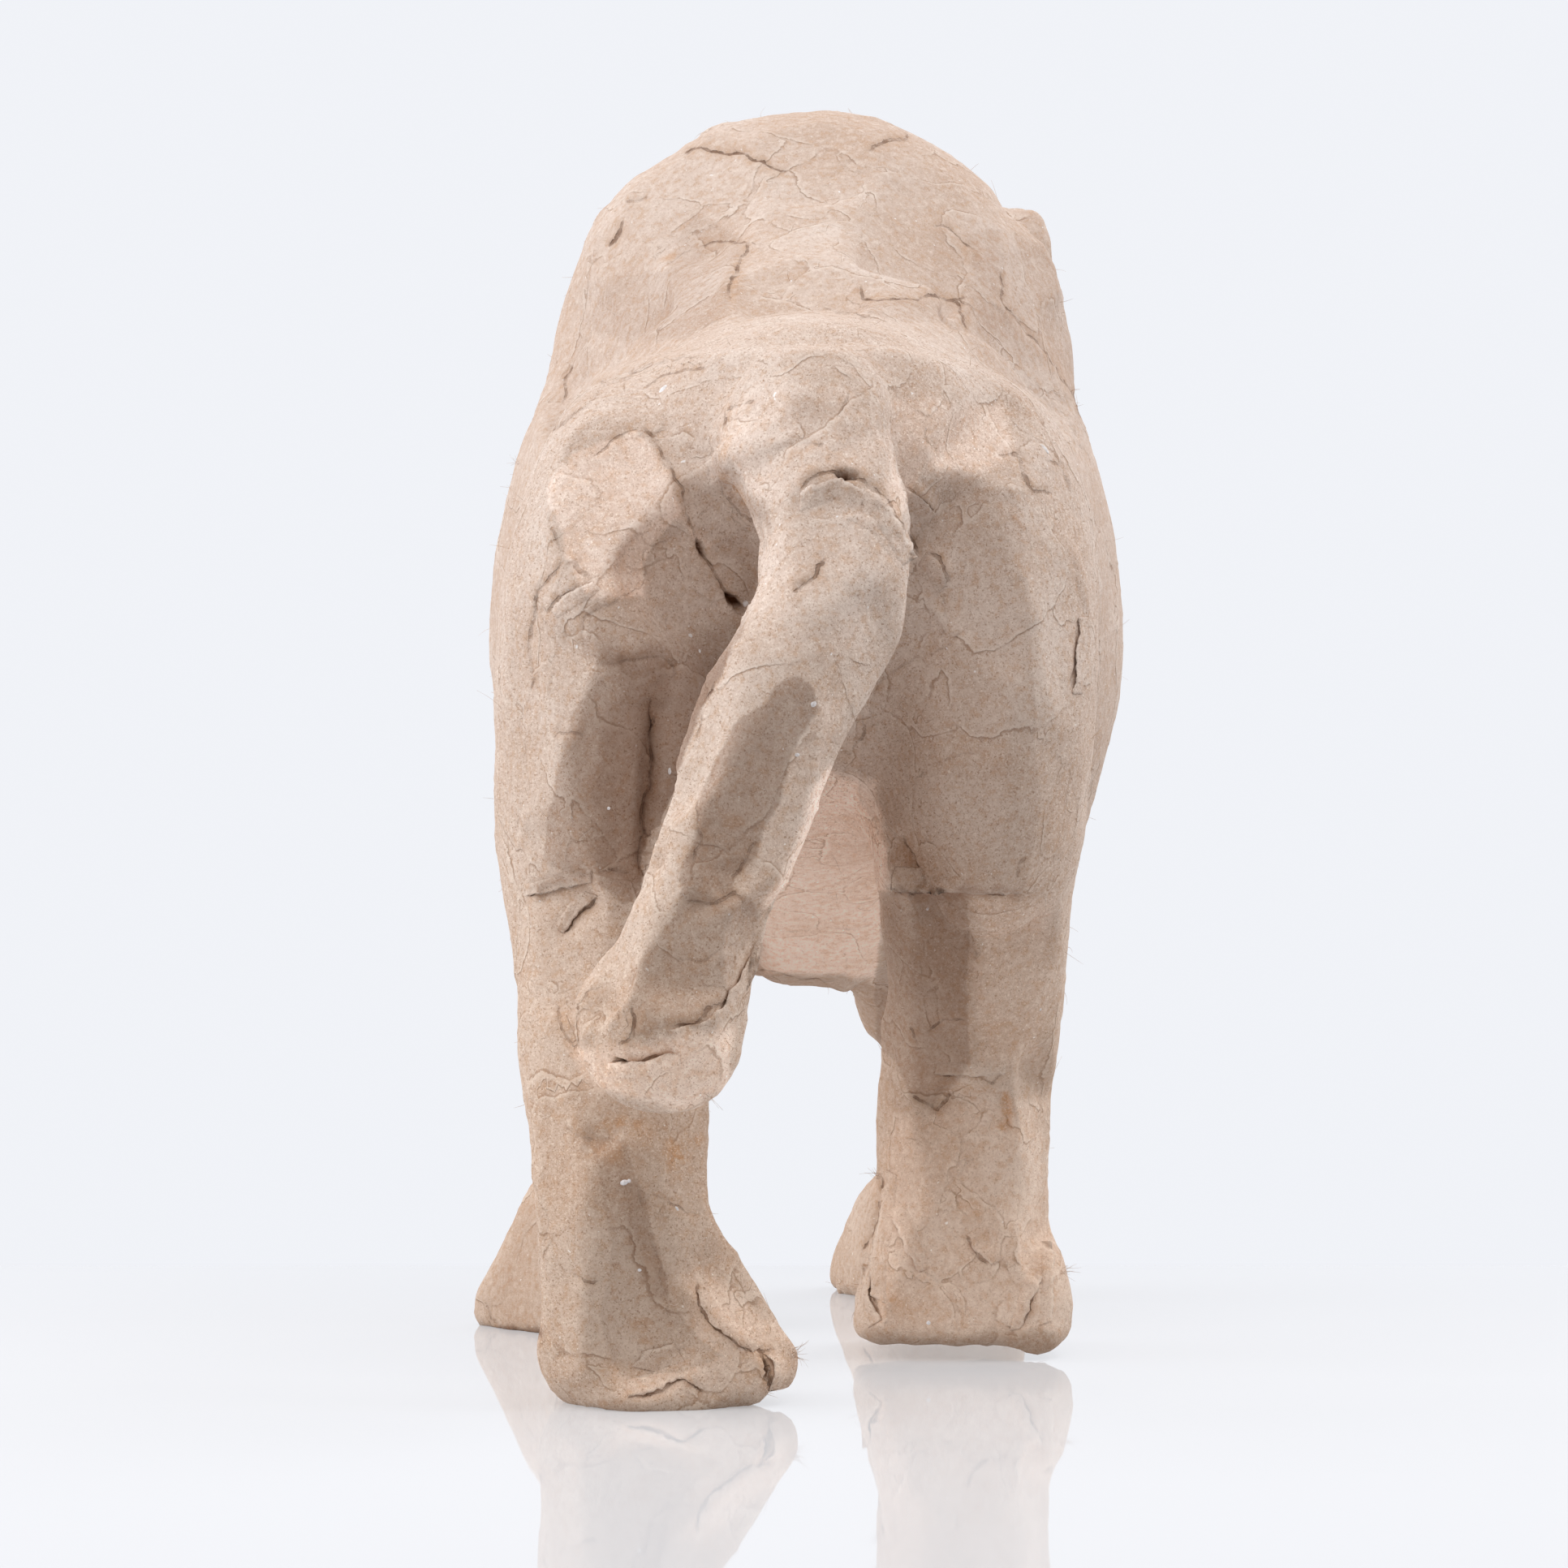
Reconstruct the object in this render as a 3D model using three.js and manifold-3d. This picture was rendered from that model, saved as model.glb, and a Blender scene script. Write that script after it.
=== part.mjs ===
// A walking lion of papier-mache: torn kraft paper pasted in one hollow piece, with its tail hanging clear.
// It stands on z = 0, walks towards +Y and has its right side at +X. Lengths are in millimetres.
// The form is a field of blended ellipsoids and tapered limbs, meshed where the field is zero.
import * as THREE from "three";
import { mergeVertices } from "three/addons/utils/BufferGeometryUtils.js";
import Module from "manifold-3d";

// Hindquarters and belly
const rumpTop = 138.5;
const hipHalfWidth = 38.5;
const pelvisY = 47;
const pelvisHalfLength = 38;
const pelvisHalfHeight = 30;
const haunchHalfWidth = 15.5;
const haunchHalfLength = 35;
const haunchHalfHeight = 42;
const bellyHalfWidth = 36;
const bellyHalfLength = 60;
const bellyMiddleHeight = 102;
const groinHeight = 74;

// Head
const headX = 2.5;
const headY = 176;
const headHeight = 137;
const headHalfWidth = 22;
const muzzleReach = 39;
const muzzleHalfWidth = 14;
const muzzleHalfLength = 15;
const eyeSpread = 11;
const eyeRadius = 5;
const earSpread = 29;
const earRadius = 7;
const earHeight = headHeight + 1.25 * headHalfWidth;

// Chest and mane
const maneRise = 45.2; // how far the mane stands above the middle of the head
const maneTop = headHeight + maneRise;
const maneY = 134;
const maneHalfLength = 39;
const chestHalfWidth = 47.2;
const chestMiddleHeight = 100;
const chestClearance = 50;
const shoulderRise = 70; // how far the chest's egg reaches above its middle
const crownHalfWidth = 39.3;
const crownHalfHeight = 40.5;
const withersRadius = 42;
const frillRadius = 27; // the ring of mane round the face
const frillThickness = 10;
const frillLocks = 11;
const lockRelief = 1.2;

// Legs and feet
const shankHalfWidth = 10.5;
const shankHalfLength = 10;
const thighHalfLength = 20;
const footHalfWidth = 14.5;
const footHalfLength = 18;
const footHeight = 17;
const footCorner = 7; // radius of a foot's corners, seen from above
const toeThickness = 4.5;
const toeLift = 1.7; // how far the tip of the left hind foot is off the ground
const liftedSole = 2.7; // the right hind foot hangs this far above the ground
const leftHind = { x: -24, y: 12 };
const rightHind = { x: 21.5, y: 76 };
const leftFore = { x: -27.5, y: 117 };
const rightFore = { x: 23.5, y: 172 };

// Tail
const tailRootHeight = 121;
const tailRadius = 8.4;
const tailEndHeight = 49;
const tailReach = 22; // how far behind the heel of the left hind foot the tail's axis goes
const tailSwing = 18; // how far to the left of the spine the tuft hangs
const tuftRadius = 10.4;

// Widths over which two forms run into each other
const creaseBlend = 3;
const limbBlend = 6;
const bodyBlend = 18;

// Mesh: the size of a cell on the trunk, and of the finer cells on the feet, the tail and the head
const trunkCell = 5.5;
const fineCell = 4.3;
const settlingRounds = 7;
const soleMargin = 6; // how far the feet run on below their soles, before the cut

const mix = (a, b, t) => a + (b - a) * t;
const clamp01 = (t) => Math.min(1, Math.max(0, t));
const radians = THREE.MathUtils.degToRad;

// The smooth minimum of two distances, rounded over the width k
function blend(a, b, k) {
  const h = Math.max(k - Math.abs(a - b), 0) / k;
  return Math.min(a, b) - (h * h * k) / 4;
}

const joined = (fields, k) => (x, y, z) => fields.reduce((d, f) => blend(d, f(x, y, z), k), Infinity);

// Where two solids cross, with the edge between them rounded to the radius r
function crossed(a, b, r) {
  return Math.hypot(Math.max(a + r, 0), Math.max(b + r, 0)) + Math.min(Math.max(a, b) + r, 0) - r;
}

// Distance to an ellipsoid, pitched about X and then turned about Z, both in degrees
function ellipsoid({ at, size, turn = 0, pitch = 0 }) {
  const angles = new THREE.Euler(radians(pitch), 0, radians(turn), "ZXY");
  const toLocal = new THREE.Matrix4().makeRotationFromEuler(angles).invert();
  const q = new THREE.Vector3();
  return (x, y, z) => {
    q.set(x - at[0], y - at[1], z - at[2]).applyMatrix4(toLocal);
    const near = Math.hypot(q.x / size[0], q.y / size[1], q.z / size[2]);
    const slope = Math.hypot(q.x / size[0] ** 2, q.y / size[1] ** 2, q.z / size[2] ** 2);
    return slope > 1e-9 ? (near * (near - 1)) / slope : -Math.min(...size);
  };
}

// Distance to a limb that tapers between two ends, each with a half width across X and a half length along Y
function limb(top, end) {
  const axis = top.at.map((v, i) => end.at[i] - v);
  const lengthSquared = axis.reduce((sum, v) => sum + v * v, 0);
  return (x, y, z) => {
    const from = [x - top.at[0], y - top.at[1], z - top.at[2]];
    const t = clamp01(from.reduce((sum, v, i) => sum + v * axis[i], 0) / lengthSquared);
    const [dx, dy, dz] = from.map((v, i) => v - axis[i] * t);
    const halfWidth = mix(top.half[0], end.half[0], t);
    const halfLength = mix(top.half[1], end.half[1], t);
    const narrow = Math.min(halfWidth, halfLength);
    return (Math.hypot(dx / halfWidth, dy / halfLength, dz / narrow) - 1) * narrow;
  };
}

// Distance to a chain of limbs through a row of stations
function chain(stations) {
  const links = stations.slice(1).map((end, i) => limb(stations[i], end));
  return (x, y, z) => Math.min(...links.map((link) => link(x, y, z)));
}

// A foot: a flat-soled wedge that is highest at the ankle, slopes down to the toes and ends bluntly there.
// Turn swings the toes away from +Y, and toeSpring lifts the tip of the sole.
function foot({
  x,
  y,
  turn,
  height,
  halfWidth = footHalfWidth,
  halfLength = footHalfLength,
  sole = 0,
  toeSpring = 0,
}) {
  const [c, s] = [Math.cos(radians(turn)), Math.sin(radians(turn))];
  return (px, py, pz) => {
    const across = (px - x) * c + (py - y) * s;
    const along = (py - y) * c - (px - x) * s;
    const up = pz - sole;
    const share = clamp01((up - toeThickness) / (height - toeThickness));
    const ahead = halfLength * (1 - 0.6 * share ** 0.8);
    const behind = halfLength * 0.6;
    const dx = Math.abs(across) - halfWidth * (1 - 0.26 * share) + footCorner;
    const dy = Math.abs(along - (ahead - behind) / 2) - (ahead + behind) / 2 + footCorner;
    const outside = Math.hypot(Math.max(dx, 0), Math.max(dy, 0));
    const plan = outside + Math.min(Math.max(dx, dy), 0) - footCorner;
    const toeShare = clamp01(along / halfLength) ** 1.5;
    const underside = Math.min(mix(-soleMargin, toeSpring * 4.5, toeShare), toeSpring);
    return crossed(crossed(plan, up - height, footCorner / 2), underside - up, 0.1);
  };
}

function trunk() {
  const chestHalf = (rise) =>
    ellipsoid({ at: [-0.4, maneY, chestMiddleHeight], size: [chestHalfWidth, maneHalfLength, rise] });
  const upper = chestHalf(shoulderRise);
  const lower = chestHalf(chestMiddleHeight - chestClearance);
  const chest = (x, y, z) => (z > chestMiddleHeight ? upper(x, y, z) : lower(x, y, z));
  const crown = ellipsoid({
    at: [0.6, maneY + maneHalfLength * 0.23, maneTop - crownHalfHeight],
    size: [crownHalfWidth, maneHalfLength, crownHalfHeight],
  });
  const withers = ellipsoid({
    at: [1, maneY - maneHalfLength * 0.77, rumpTop * 0.823],
    size: [bellyHalfWidth * 1.03, withersRadius, withersRadius],
    pitch: 26,
  });
  const belly = ellipsoid({
    at: [0, mix(pelvisY, maneY, 0.563), bellyMiddleHeight],
    size: [bellyHalfWidth, bellyHalfLength, bellyHalfWidth],
    pitch: -7,
  });
  const pelvis = ellipsoid({
    at: [-1, pelvisY + pelvisHalfLength * 0.16, rumpTop * 0.78],
    size: [hipHalfWidth * 0.922, pelvisHalfLength, pelvisHalfHeight],
  });
  const ridge = (x, y, share, wide, deep) => ({
    at: [x, y, rumpTop * share],
    half: [hipHalfWidth * wide, hipHalfWidth * deep],
  });
  const back = chain([
    ridge(1, pelvisY - pelvisHalfLength * 0.6, 0.863, 0.545, 0.44),
    ridge(2.3, pelvisY + pelvisHalfLength * 0.08, 0.834, 0.675, 0.57),
    ridge(0, maneY - maneHalfLength * 0.87, 0.852, 0.7, 0.62),
  ]);
  const hind = joined([belly, withers, pelvis, back], bodyBlend * 0.67);
  return joined([joined([chest, crown], creaseBlend), hind], bodyBlend);
}

function haunches() {
  const left = ellipsoid({
    at: [-hipHalfWidth + haunchHalfWidth * 0.83, pelvisY - pelvisHalfLength * 0.21, rumpTop * 0.635],
    size: [haunchHalfWidth, haunchHalfLength, haunchHalfHeight],
    pitch: 12,
  });
  const right = ellipsoid({
    at: [hipHalfWidth - haunchHalfWidth * 1.026, pelvisY + pelvisHalfLength * 0.08, rumpTop * 0.686],
    size: [haunchHalfWidth, haunchHalfLength, haunchHalfHeight * 0.88],
    pitch: -10,
  });
  return joined([left, right], creaseBlend);
}

// One leg: a chain from the thigh to the ankle, blended into its foot. Heights are shares of the groin's.
function leg(ankle, stations, ownFoot) {
  const column = stations.map(({ dx = 0, dy = 0, share, half }) => ({
    at: [ankle.x + dx, ankle.y + dy, groinHeight * share],
    half,
  }));
  return joined([chain(column), foot({ ...ankle, ...ownFoot })], creaseBlend);
}

function legs() {
  const [w, l, thigh] = [shankHalfWidth, shankHalfLength, thighHalfLength];
  const backLeft = leg(
    leftHind,
    [
      { dy: l * 2.4, share: 0.97, half: [w * 1.43, thigh] },
      { dx: -w * 0.1, dy: l * 0.8, share: 0.62, half: [w * 1.16, l * 1.3] },
      { share: 0.38, half: [w, l] },
      { dx: w * 0.1, share: 0.11, half: [w, l] },
    ],
    {
      x: leftHind.x + footHalfLength * 0.28,
      y: leftHind.y + footHalfLength * 0.11,
      turn: -72,
      halfWidth: footHalfWidth * 0.79,
      height: footHeight * 1.3,
      toeSpring: toeLift,
    },
  );
  const backRight = leg(
    rightHind,
    [
      { dx: w * 0.08, dy: -l * 2, share: 0.97, half: [w * 1.24, thigh * 1.05] },
      { dx: w * 0.1, dy: -l * 0.7, share: 0.68, half: [w * 1.16, l * 1.3] },
      { dx: -w * 0.05, share: 0.38, half: [w * 1.1, l * 1.1] },
      { dy: l * 0.1, share: 0.14, half: [w * 1.1, l] },
    ],
    { x: rightHind.x - w * 0.05, turn: 0, height: footHeight * 0.91, sole: liftedSole },
  );
  const frontLeft = leg(
    leftFore,
    [
      { dx: -w * 0.1, dy: l * 1.1, share: 1.03, half: [w * 1.48, thigh] },
      { dy: l * 0.3, share: 0.62, half: [w * 1.1, l * 1.3] },
      { share: 0.35, half: [w, l] },
      { dx: -w * 0.1, share: 0.11, half: [w, l] },
    ],
    {
      x: leftFore.x - footHalfWidth * 0.165,
      y: leftFore.y + footHalfLength * 0.11,
      turn: 40,
      halfLength: footHalfLength * 0.945,
      height: footHeight * 1.35,
    },
  );
  const frontRight = leg(
    rightFore,
    [
      { dx: w * 0.24, dy: -l * 2.8, share: 1.05, half: [w * 1.52, thigh] },
      { dx: -w * 0.1, dy: -l * 2.2, share: 0.76, half: [w * 1.52, thigh * 0.8] },
      { dx: w * 0.05, dy: -l, share: 0.51, half: [w * 1.05, l * 1.2] },
      { dy: -l * 0.2, share: 0.35, half: [w, l] },
      { dx: -w * 0.1, share: 0.11, half: [w, l] },
    ],
    {
      x: rightFore.x - footHalfWidth * 0.2,
      y: rightFore.y + footHalfLength * 0.17,
      turn: 12,
      height: footHeight * 1.12,
    },
  );
  const all = [backLeft, backRight, frontLeft, frontRight];
  return (x, y, z) => Math.min(...all.map((one) => one(x, y, z)));
}

// The tail leaves the rump level, bends down at once and hangs towards the left hind foot. A station has its
// shares of the way down, of the swing to the left, of the reach behind and of the tail's radius.
function tail() {
  const station = (down, left, back, thick) => ({
    at: [-tailSwing * left, -tailReach * back, mix(tailRootHeight, tailEndHeight, down)],
    half: [tailRadius * thick, tailRadius * thick],
  });
  const rope = chain([
    station(0.01, 0, -1.1, 1.24),
    station(0, 0.03, 0, 1.19),
    station(0.17, -0.14, 0.41, 1.11),
    station(0.32, -0.11, 0.64, 1.07),
    station(0.49, 0.244, 0.82, 1.02),
    station(0.75, 0.633, 0.95, 0.95),
    station(0.97, 0.917, 1, 0.89),
  ]);
  const tuft = ellipsoid({
    at: [-tailSwing, -tailReach * 0.91, tailEndHeight],
    size: [tuftRadius, tuftRadius * 0.9, tuftRadius * 1.08],
  });
  return joined([rope, tuft], creaseBlend);
}

// The ring of mane round the face, waved into locks
function frill() {
  return (x, y, z) => {
    const [dx, dz] = [x - headX, z - headHeight];
    const dy = (y - headY + frillThickness * 0.6 + dz * 0.12) * 0.8;
    const wave = Math.cos(frillLocks * Math.atan2(dx, dz));
    return Math.hypot(Math.hypot(dx, dz) - frillRadius, dy) - frillThickness - wave * lockRelief;
  };
}

// The face, from the size h of the head: it's broad and blunt, with sunken eyes and round ears
function face() {
  const h = headHalfWidth;
  const place = (side, ahead, up) => [headX + side, headY + ahead, headHeight + up];
  const muzzleY = muzzleReach - muzzleHalfLength;
  const neckHalf = [h * 0.8, h * 0.8];
  const neck = limb({ at: [headX, maneY, headHeight], half: neckHalf }, { at: place(0, 0, 0), half: neckHalf });
  const skull = ellipsoid({ at: place(0, 0, 0), size: [h, h * 0.95, h * 1.05] });
  const brow = ellipsoid({ at: place(0, h * 0.5, h * 0.55), size: [h * 0.68, h * 0.41, h * 0.32] });
  const bridge = chain([
    { at: place(0, h * 0.59, h * 0.36), half: [h * 0.39, h * 0.32] },
    { at: place(0, muzzleY + h * 0.36, -h * 0.05), half: [h * 0.34, h * 0.3] },
  ]);
  const muzzle = ellipsoid({
    at: place(0, muzzleY, -h * 0.39),
    size: [muzzleHalfWidth, muzzleHalfLength, muzzleHalfWidth * 0.68],
  });
  const chin = ellipsoid({
    at: place(0, muzzleY - h * 0.09, -h * 0.77),
    size: [muzzleHalfWidth * 0.64, muzzleHalfLength * 0.73, muzzleHalfWidth * 0.5],
  });
  const pair = (side, ahead, up, size, turn = 0) =>
    [-1, 1].map((s) => ellipsoid({ at: place(s * side, ahead, up), size, turn: s * turn }));
  const cheeks = pair(h * 0.5, h * 0.27, -h * 0.36, [h * 0.5, h * 0.68, h * 0.59]);
  const eyeHole = [eyeRadius, eyeRadius * 1.2, eyeRadius * 0.8];
  const sockets = joined(pair(eyeSpread, h * 1.05, h * 0.3, eyeHole), creaseBlend);
  const earForm = [earRadius, earRadius * 0.77, earRadius * 1.08];
  const ears = pair(earSpread, -h * 0.77, earHeight - headHeight, earForm, -25);
  const features = joined([neck, skull, brow, bridge, muzzle, chin, ...cheeks], limbBlend);
  const carved = (x, y, z) => -blend(-features(x, y, z), sockets(x, y, z), creaseBlend);
  return joined([carved, ...ears], creaseBlend);
}

function lionField() {
  const body = joined([trunk(), haunches()], limbBlend);
  const [limbs, rear, ring, front] = [legs(), tail(), frill(), face()];
  return (x, y, z) => {
    const standing = blend(body(x, y, z), limbs(x, y, z), limbBlend);
    const maned = blend(blend(standing, rear(x, y, z), creaseBlend), ring(x, y, z), bodyBlend / 2);
    return blend(maned, front(x, y, z), creaseBlend);
  };
}

// Grid lines from low to high, with a step that changes by zone
function lines(low, high, stepAt) {
  const out = [low];
  while (out.at(-1) < high) out.push(out.at(-1) + stepAt(out.at(-1)));
  return out;
}

// Meshes the zero of a field on a grid: one vertex in each cell that the surface crosses, at the mean of its
// crossings on the cell's edges, and a quad round each grid edge that it crosses
function surfaceNet(field, xs, ys, zs) {
  const [nx, ny, nz] = [xs.length, ys.length, zs.length];
  const index = (i, j, k) => (k * ny + j) * nx + i;
  const value = new Float64Array(nx * ny * nz);
  zs.forEach((z, k) => ys.forEach((y, j) => xs.forEach((x, i) => (value[index(i, j, k)] = field(x, y, z)))));

  const corners = [0, 1, 2, 3, 4, 5, 6, 7].map((n) => [n & 1, (n >> 1) & 1, n >> 2]);
  const edges = corners.flatMap((_, n) => [1, 2, 4].filter((bit) => !(n & bit)).map((bit) => [n, n | bit]));
  const vertexOf = new Int32Array(nx * ny * nz).fill(-1);
  const points = [];
  for (let k = 0; k < nz - 1; k++)
    for (let j = 0; j < ny - 1; j++)
      for (let i = 0; i < nx - 1; i++) {
        const cell = corners.map(([a, b, c]) => ({
          at: new THREE.Vector3(xs[i + a], ys[j + b], zs[k + c]),
          value: value[index(i + a, j + b, k + c)],
        }));
        const crossings = edges
          .map(([a, b]) => [cell[a], cell[b]])
          .filter(([a, b]) => a.value < 0 !== b.value < 0)
          .map(([a, b]) => a.at.clone().lerp(b.at, a.value / (a.value - b.value)));
        if (!crossings.length) continue;
        vertexOf[index(i, j, k)] = points.length;
        const sum = crossings.reduce((total, p) => total.add(p), new THREE.Vector3());
        points.push(sum.divideScalar(crossings.length));
      }

  const faces = [];
  const quad = (cells, flip) => {
    const [p, q, r, s] = cells.map((cell) => vertexOf[cell]);
    const alongPR = points[p].distanceTo(points[r]) < points[q].distanceTo(points[s]);
    const halves = alongPR ? [[p, q, r], [p, r, s]] : [[q, r, s], [q, s, p]];
    for (const [u, v, w] of halves) faces.push(...(flip ? [u, w, v] : [u, v, w]));
  };
  for (let k = 1; k < nz - 1; k++)
    for (let j = 1; j < ny - 1; j++)
      for (let i = 1; i < nx - 1; i++) {
        const inside = value[index(i, j, k)] < 0;
        const [x, y, z] = [index(i - 1, j, k), index(i, j - 1, k), index(i, j, k - 1)];
        const here = index(i, j, k);
        if (inside !== value[index(i + 1, j, k)] < 0) quad([index(i, j - 1, k - 1), z, here, y], !inside);
        if (inside !== value[index(i, j + 1, k)] < 0) quad([index(i - 1, j, k - 1), x, here, z], !inside);
        if (inside !== value[index(i, j, k + 1)] < 0) quad([index(i - 1, j - 1, k), y, here, x], !inside);
      }
  settle(field, points, faces);
  return { points, faces };
}

// Evens out the mesh: each vertex goes half way to the middle of its neighbours, then back onto the surface
function settle(field, points, faces) {
  const nudge = 0.05;
  const slopeAt = (p, d) =>
    new THREE.Vector3(
      field(p.x + nudge, p.y, p.z) - d,
      field(p.x, p.y + nudge, p.z) - d,
      field(p.x, p.y, p.z + nudge) - d,
    ).divideScalar(nudge);
  for (let round = 0; round < settlingRounds; round++) {
    const sums = points.map(() => new THREE.Vector3());
    const counts = new Uint16Array(points.length);
    faces.forEach((from, n) => {
      const next = n % 3 === 2 ? n - 2 : n + 1;
      sums[from].add(points[faces[next]]);
      counts[from]++;
    });
    const smoothing = round < settlingRounds - 2 ? 0.5 : 0;
    points.forEach((p, i) => {
      p.lerp(sums[i].divideScalar(counts[i]), smoothing);
      const d = field(p.x, p.y, p.z);
      const slope = slopeAt(p, d);
      p.addScaledVector(slope, -THREE.MathUtils.clamp(d / Math.max(slope.lengthSq(), 0.2), -2, 2));
    });
  }
}

const wasm = await Module();
wasm.setup();

function solidFrom(positions, indices) {
  const vertProperties = new Float32Array(positions);
  const triVerts = new Uint32Array(indices);
  return new wasm.Manifold(new wasm.Mesh({ numProp: 3, vertProperties, triVerts }));
}

// A block with its top at a height, to cut a sole flat
function blockBelow(top, x, y, width, length) {
  const depth = soleMargin * 4;
  const box = new THREE.BoxGeometry(width, length, depth).translate(x, y, top - depth / 2);
  box.deleteAttribute("normal");
  box.deleteAttribute("uv");
  const merged = mergeVertices(box);
  return solidFrom(merged.getAttribute("position").array, merged.index.array);
}

function lionGeometry() {
  const margin = 2 * trunkCell;
  const stance = Math.max(...[leftHind, rightHind, leftFore, rightFore].map(({ x }) => Math.abs(x)));
  const widest = Math.max(chestHalfWidth, hipHalfWidth, stance + footHalfLength);
  const [rearEnd, frontEnd] = [-tailReach - tuftRadius - margin, headY + muzzleReach + margin];
  const faceStart = headY - headHalfWidth * 0.82;
  const ankleTop = footHeight * 1.3;
  const xs = lines(-widest - margin, widest + margin, () => trunkCell);
  const ys = lines(rearEnd, frontEnd, (y) => (y < 0 || y > faceStart ? fineCell : trunkCell));
  const finer = (z) => z < ankleTop || z > headHeight - headHalfWidth * 1.1;
  const zs = lines(-3 * fineCell, maneTop + margin, (z) => (finer(z) ? fineCell : trunkCell));
  const { points, faces } = surfaceNet(lionField(), xs, ys, zs);
  const positions = points.flatMap((p) => [p.x, p.y, p.z]);
  const ground = blockBelow(0, 0, (rearEnd + frontEnd) / 2, 4 * widest, 2 * frontEnd);
  const under = [3.4 * footHalfWidth, 3 * footHalfLength];
  const underLiftedFoot = blockBelow(liftedSole, rightHind.x, rightHind.y, ...under);
  const mesh = solidFrom(positions, faces).subtract(ground).subtract(underLiftedFoot).getMesh();
  const geometry = new THREE.BufferGeometry();
  geometry.setAttribute("position", new THREE.BufferAttribute(new Float32Array(mesh.vertProperties), 3));
  geometry.setIndex(new THREE.BufferAttribute(new Uint32Array(mesh.triVerts), 1));
  return geometry;
}

const kraftPaper = new THREE.MeshStandardMaterial({ color: 0xc4a88e, roughness: 0.95, metalness: 0 });

// The lion, set so that the middle of its bounding box's base is the origin
function papierMacheLion() {
  const geometry = lionGeometry();
  geometry.computeBoundingBox();
  const middle = geometry.boundingBox.getCenter(new THREE.Vector3());
  geometry.translate(-middle.x, -middle.y, 0);
  geometry.computeVertexNormals();
  const lion = new THREE.Mesh(geometry, kraftPaper);
  lion.name = "papier_mache_lion";
  return lion;
}

const part = new THREE.Group();
part.add(papierMacheLion());

export default part;
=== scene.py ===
# A papier-mache lion in mid-walk, seen from behind on a glossy white table.
# Lengths are millimetres here and become metres when a mesh is made. Marks that follow the photograph are
# placed by its pixels, on what the camera sees there.
import math

import bpy
import numpy as np

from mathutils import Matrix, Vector
from mathutils.bvhtree import BVHTree


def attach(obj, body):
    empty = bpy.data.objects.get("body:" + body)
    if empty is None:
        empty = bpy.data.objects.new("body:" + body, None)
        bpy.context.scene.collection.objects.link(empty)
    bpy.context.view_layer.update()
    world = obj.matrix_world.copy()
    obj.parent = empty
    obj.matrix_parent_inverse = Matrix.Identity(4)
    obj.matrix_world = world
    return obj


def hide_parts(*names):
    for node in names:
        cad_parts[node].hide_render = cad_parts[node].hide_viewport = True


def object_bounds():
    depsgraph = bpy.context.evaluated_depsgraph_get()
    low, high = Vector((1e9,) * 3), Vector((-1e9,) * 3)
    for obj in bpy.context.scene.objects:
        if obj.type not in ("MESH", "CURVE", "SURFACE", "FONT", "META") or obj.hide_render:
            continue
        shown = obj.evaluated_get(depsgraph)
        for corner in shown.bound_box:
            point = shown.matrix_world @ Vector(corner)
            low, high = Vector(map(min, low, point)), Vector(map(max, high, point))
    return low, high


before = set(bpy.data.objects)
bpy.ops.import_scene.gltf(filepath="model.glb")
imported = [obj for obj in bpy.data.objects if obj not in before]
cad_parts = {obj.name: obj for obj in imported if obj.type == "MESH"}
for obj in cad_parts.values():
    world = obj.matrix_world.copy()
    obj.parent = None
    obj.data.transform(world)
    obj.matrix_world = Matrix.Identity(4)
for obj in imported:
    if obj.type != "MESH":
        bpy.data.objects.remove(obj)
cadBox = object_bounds()
print("frame loaded")

cameraSettings = {
    "across": -2.5,
    "behindTail": 570.0,
    "height": 65.0,
    "focalPixels": 6000.0,
    "photoPixels": 1932,
    "tilt": math.radians(1.184),
}
lowest = np.array(cadBox[0]) * 1000
highest = np.array(cadBox[1]) * 1000
cameraAt = np.array(
    [cameraSettings["across"], lowest[1] - cameraSettings["behindTail"], cameraSettings["height"]]
)
lookDirection = np.array([0, math.cos(cameraSettings["tilt"]), math.sin(cameraSettings["tilt"])])
upDirection = np.array([0, -math.sin(cameraSettings["tilt"]), math.cos(cameraSettings["tilt"])])


def toPhoto(points):
    # pixel across, pixel down and distance in front of the camera
    away = points - cameraAt
    depth = away @ lookDirection
    scale = cameraSettings["focalPixels"] / depth
    middle = cameraSettings["photoPixels"] / 2
    return middle + away[:, 0] * scale, middle - (away @ upDirection) * scale, depth


def smooth(value, low, high):
    share = np.clip((value - low) / (high - low), 0, 1)
    return share * share * (3 - 2 * share)


def boxed(corners, margin, across, down):
    # whether each pixel lies within that margin of the box round some corners
    low, high = np.min(corners, axis=0) - margin, np.max(corners, axis=0) + margin
    return (across > low[0]) & (across < high[0]) & (down > low[1]) & (down < high[1])


def reachFrom(dx, dy, halfLong, halfWide, lean):
    # how far a step in pixels goes from the middle of a leaning ellipse, where 1 is its rim
    c, s = math.cos(math.radians(lean)), math.sin(math.radians(lean))
    return np.hypot((dx * c + dy * s) / halfLong, (dy * c - dx * s) / halfWide)


noiseTable = np.random.default_rng(7).uniform(-1, 1, 4096)


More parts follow.
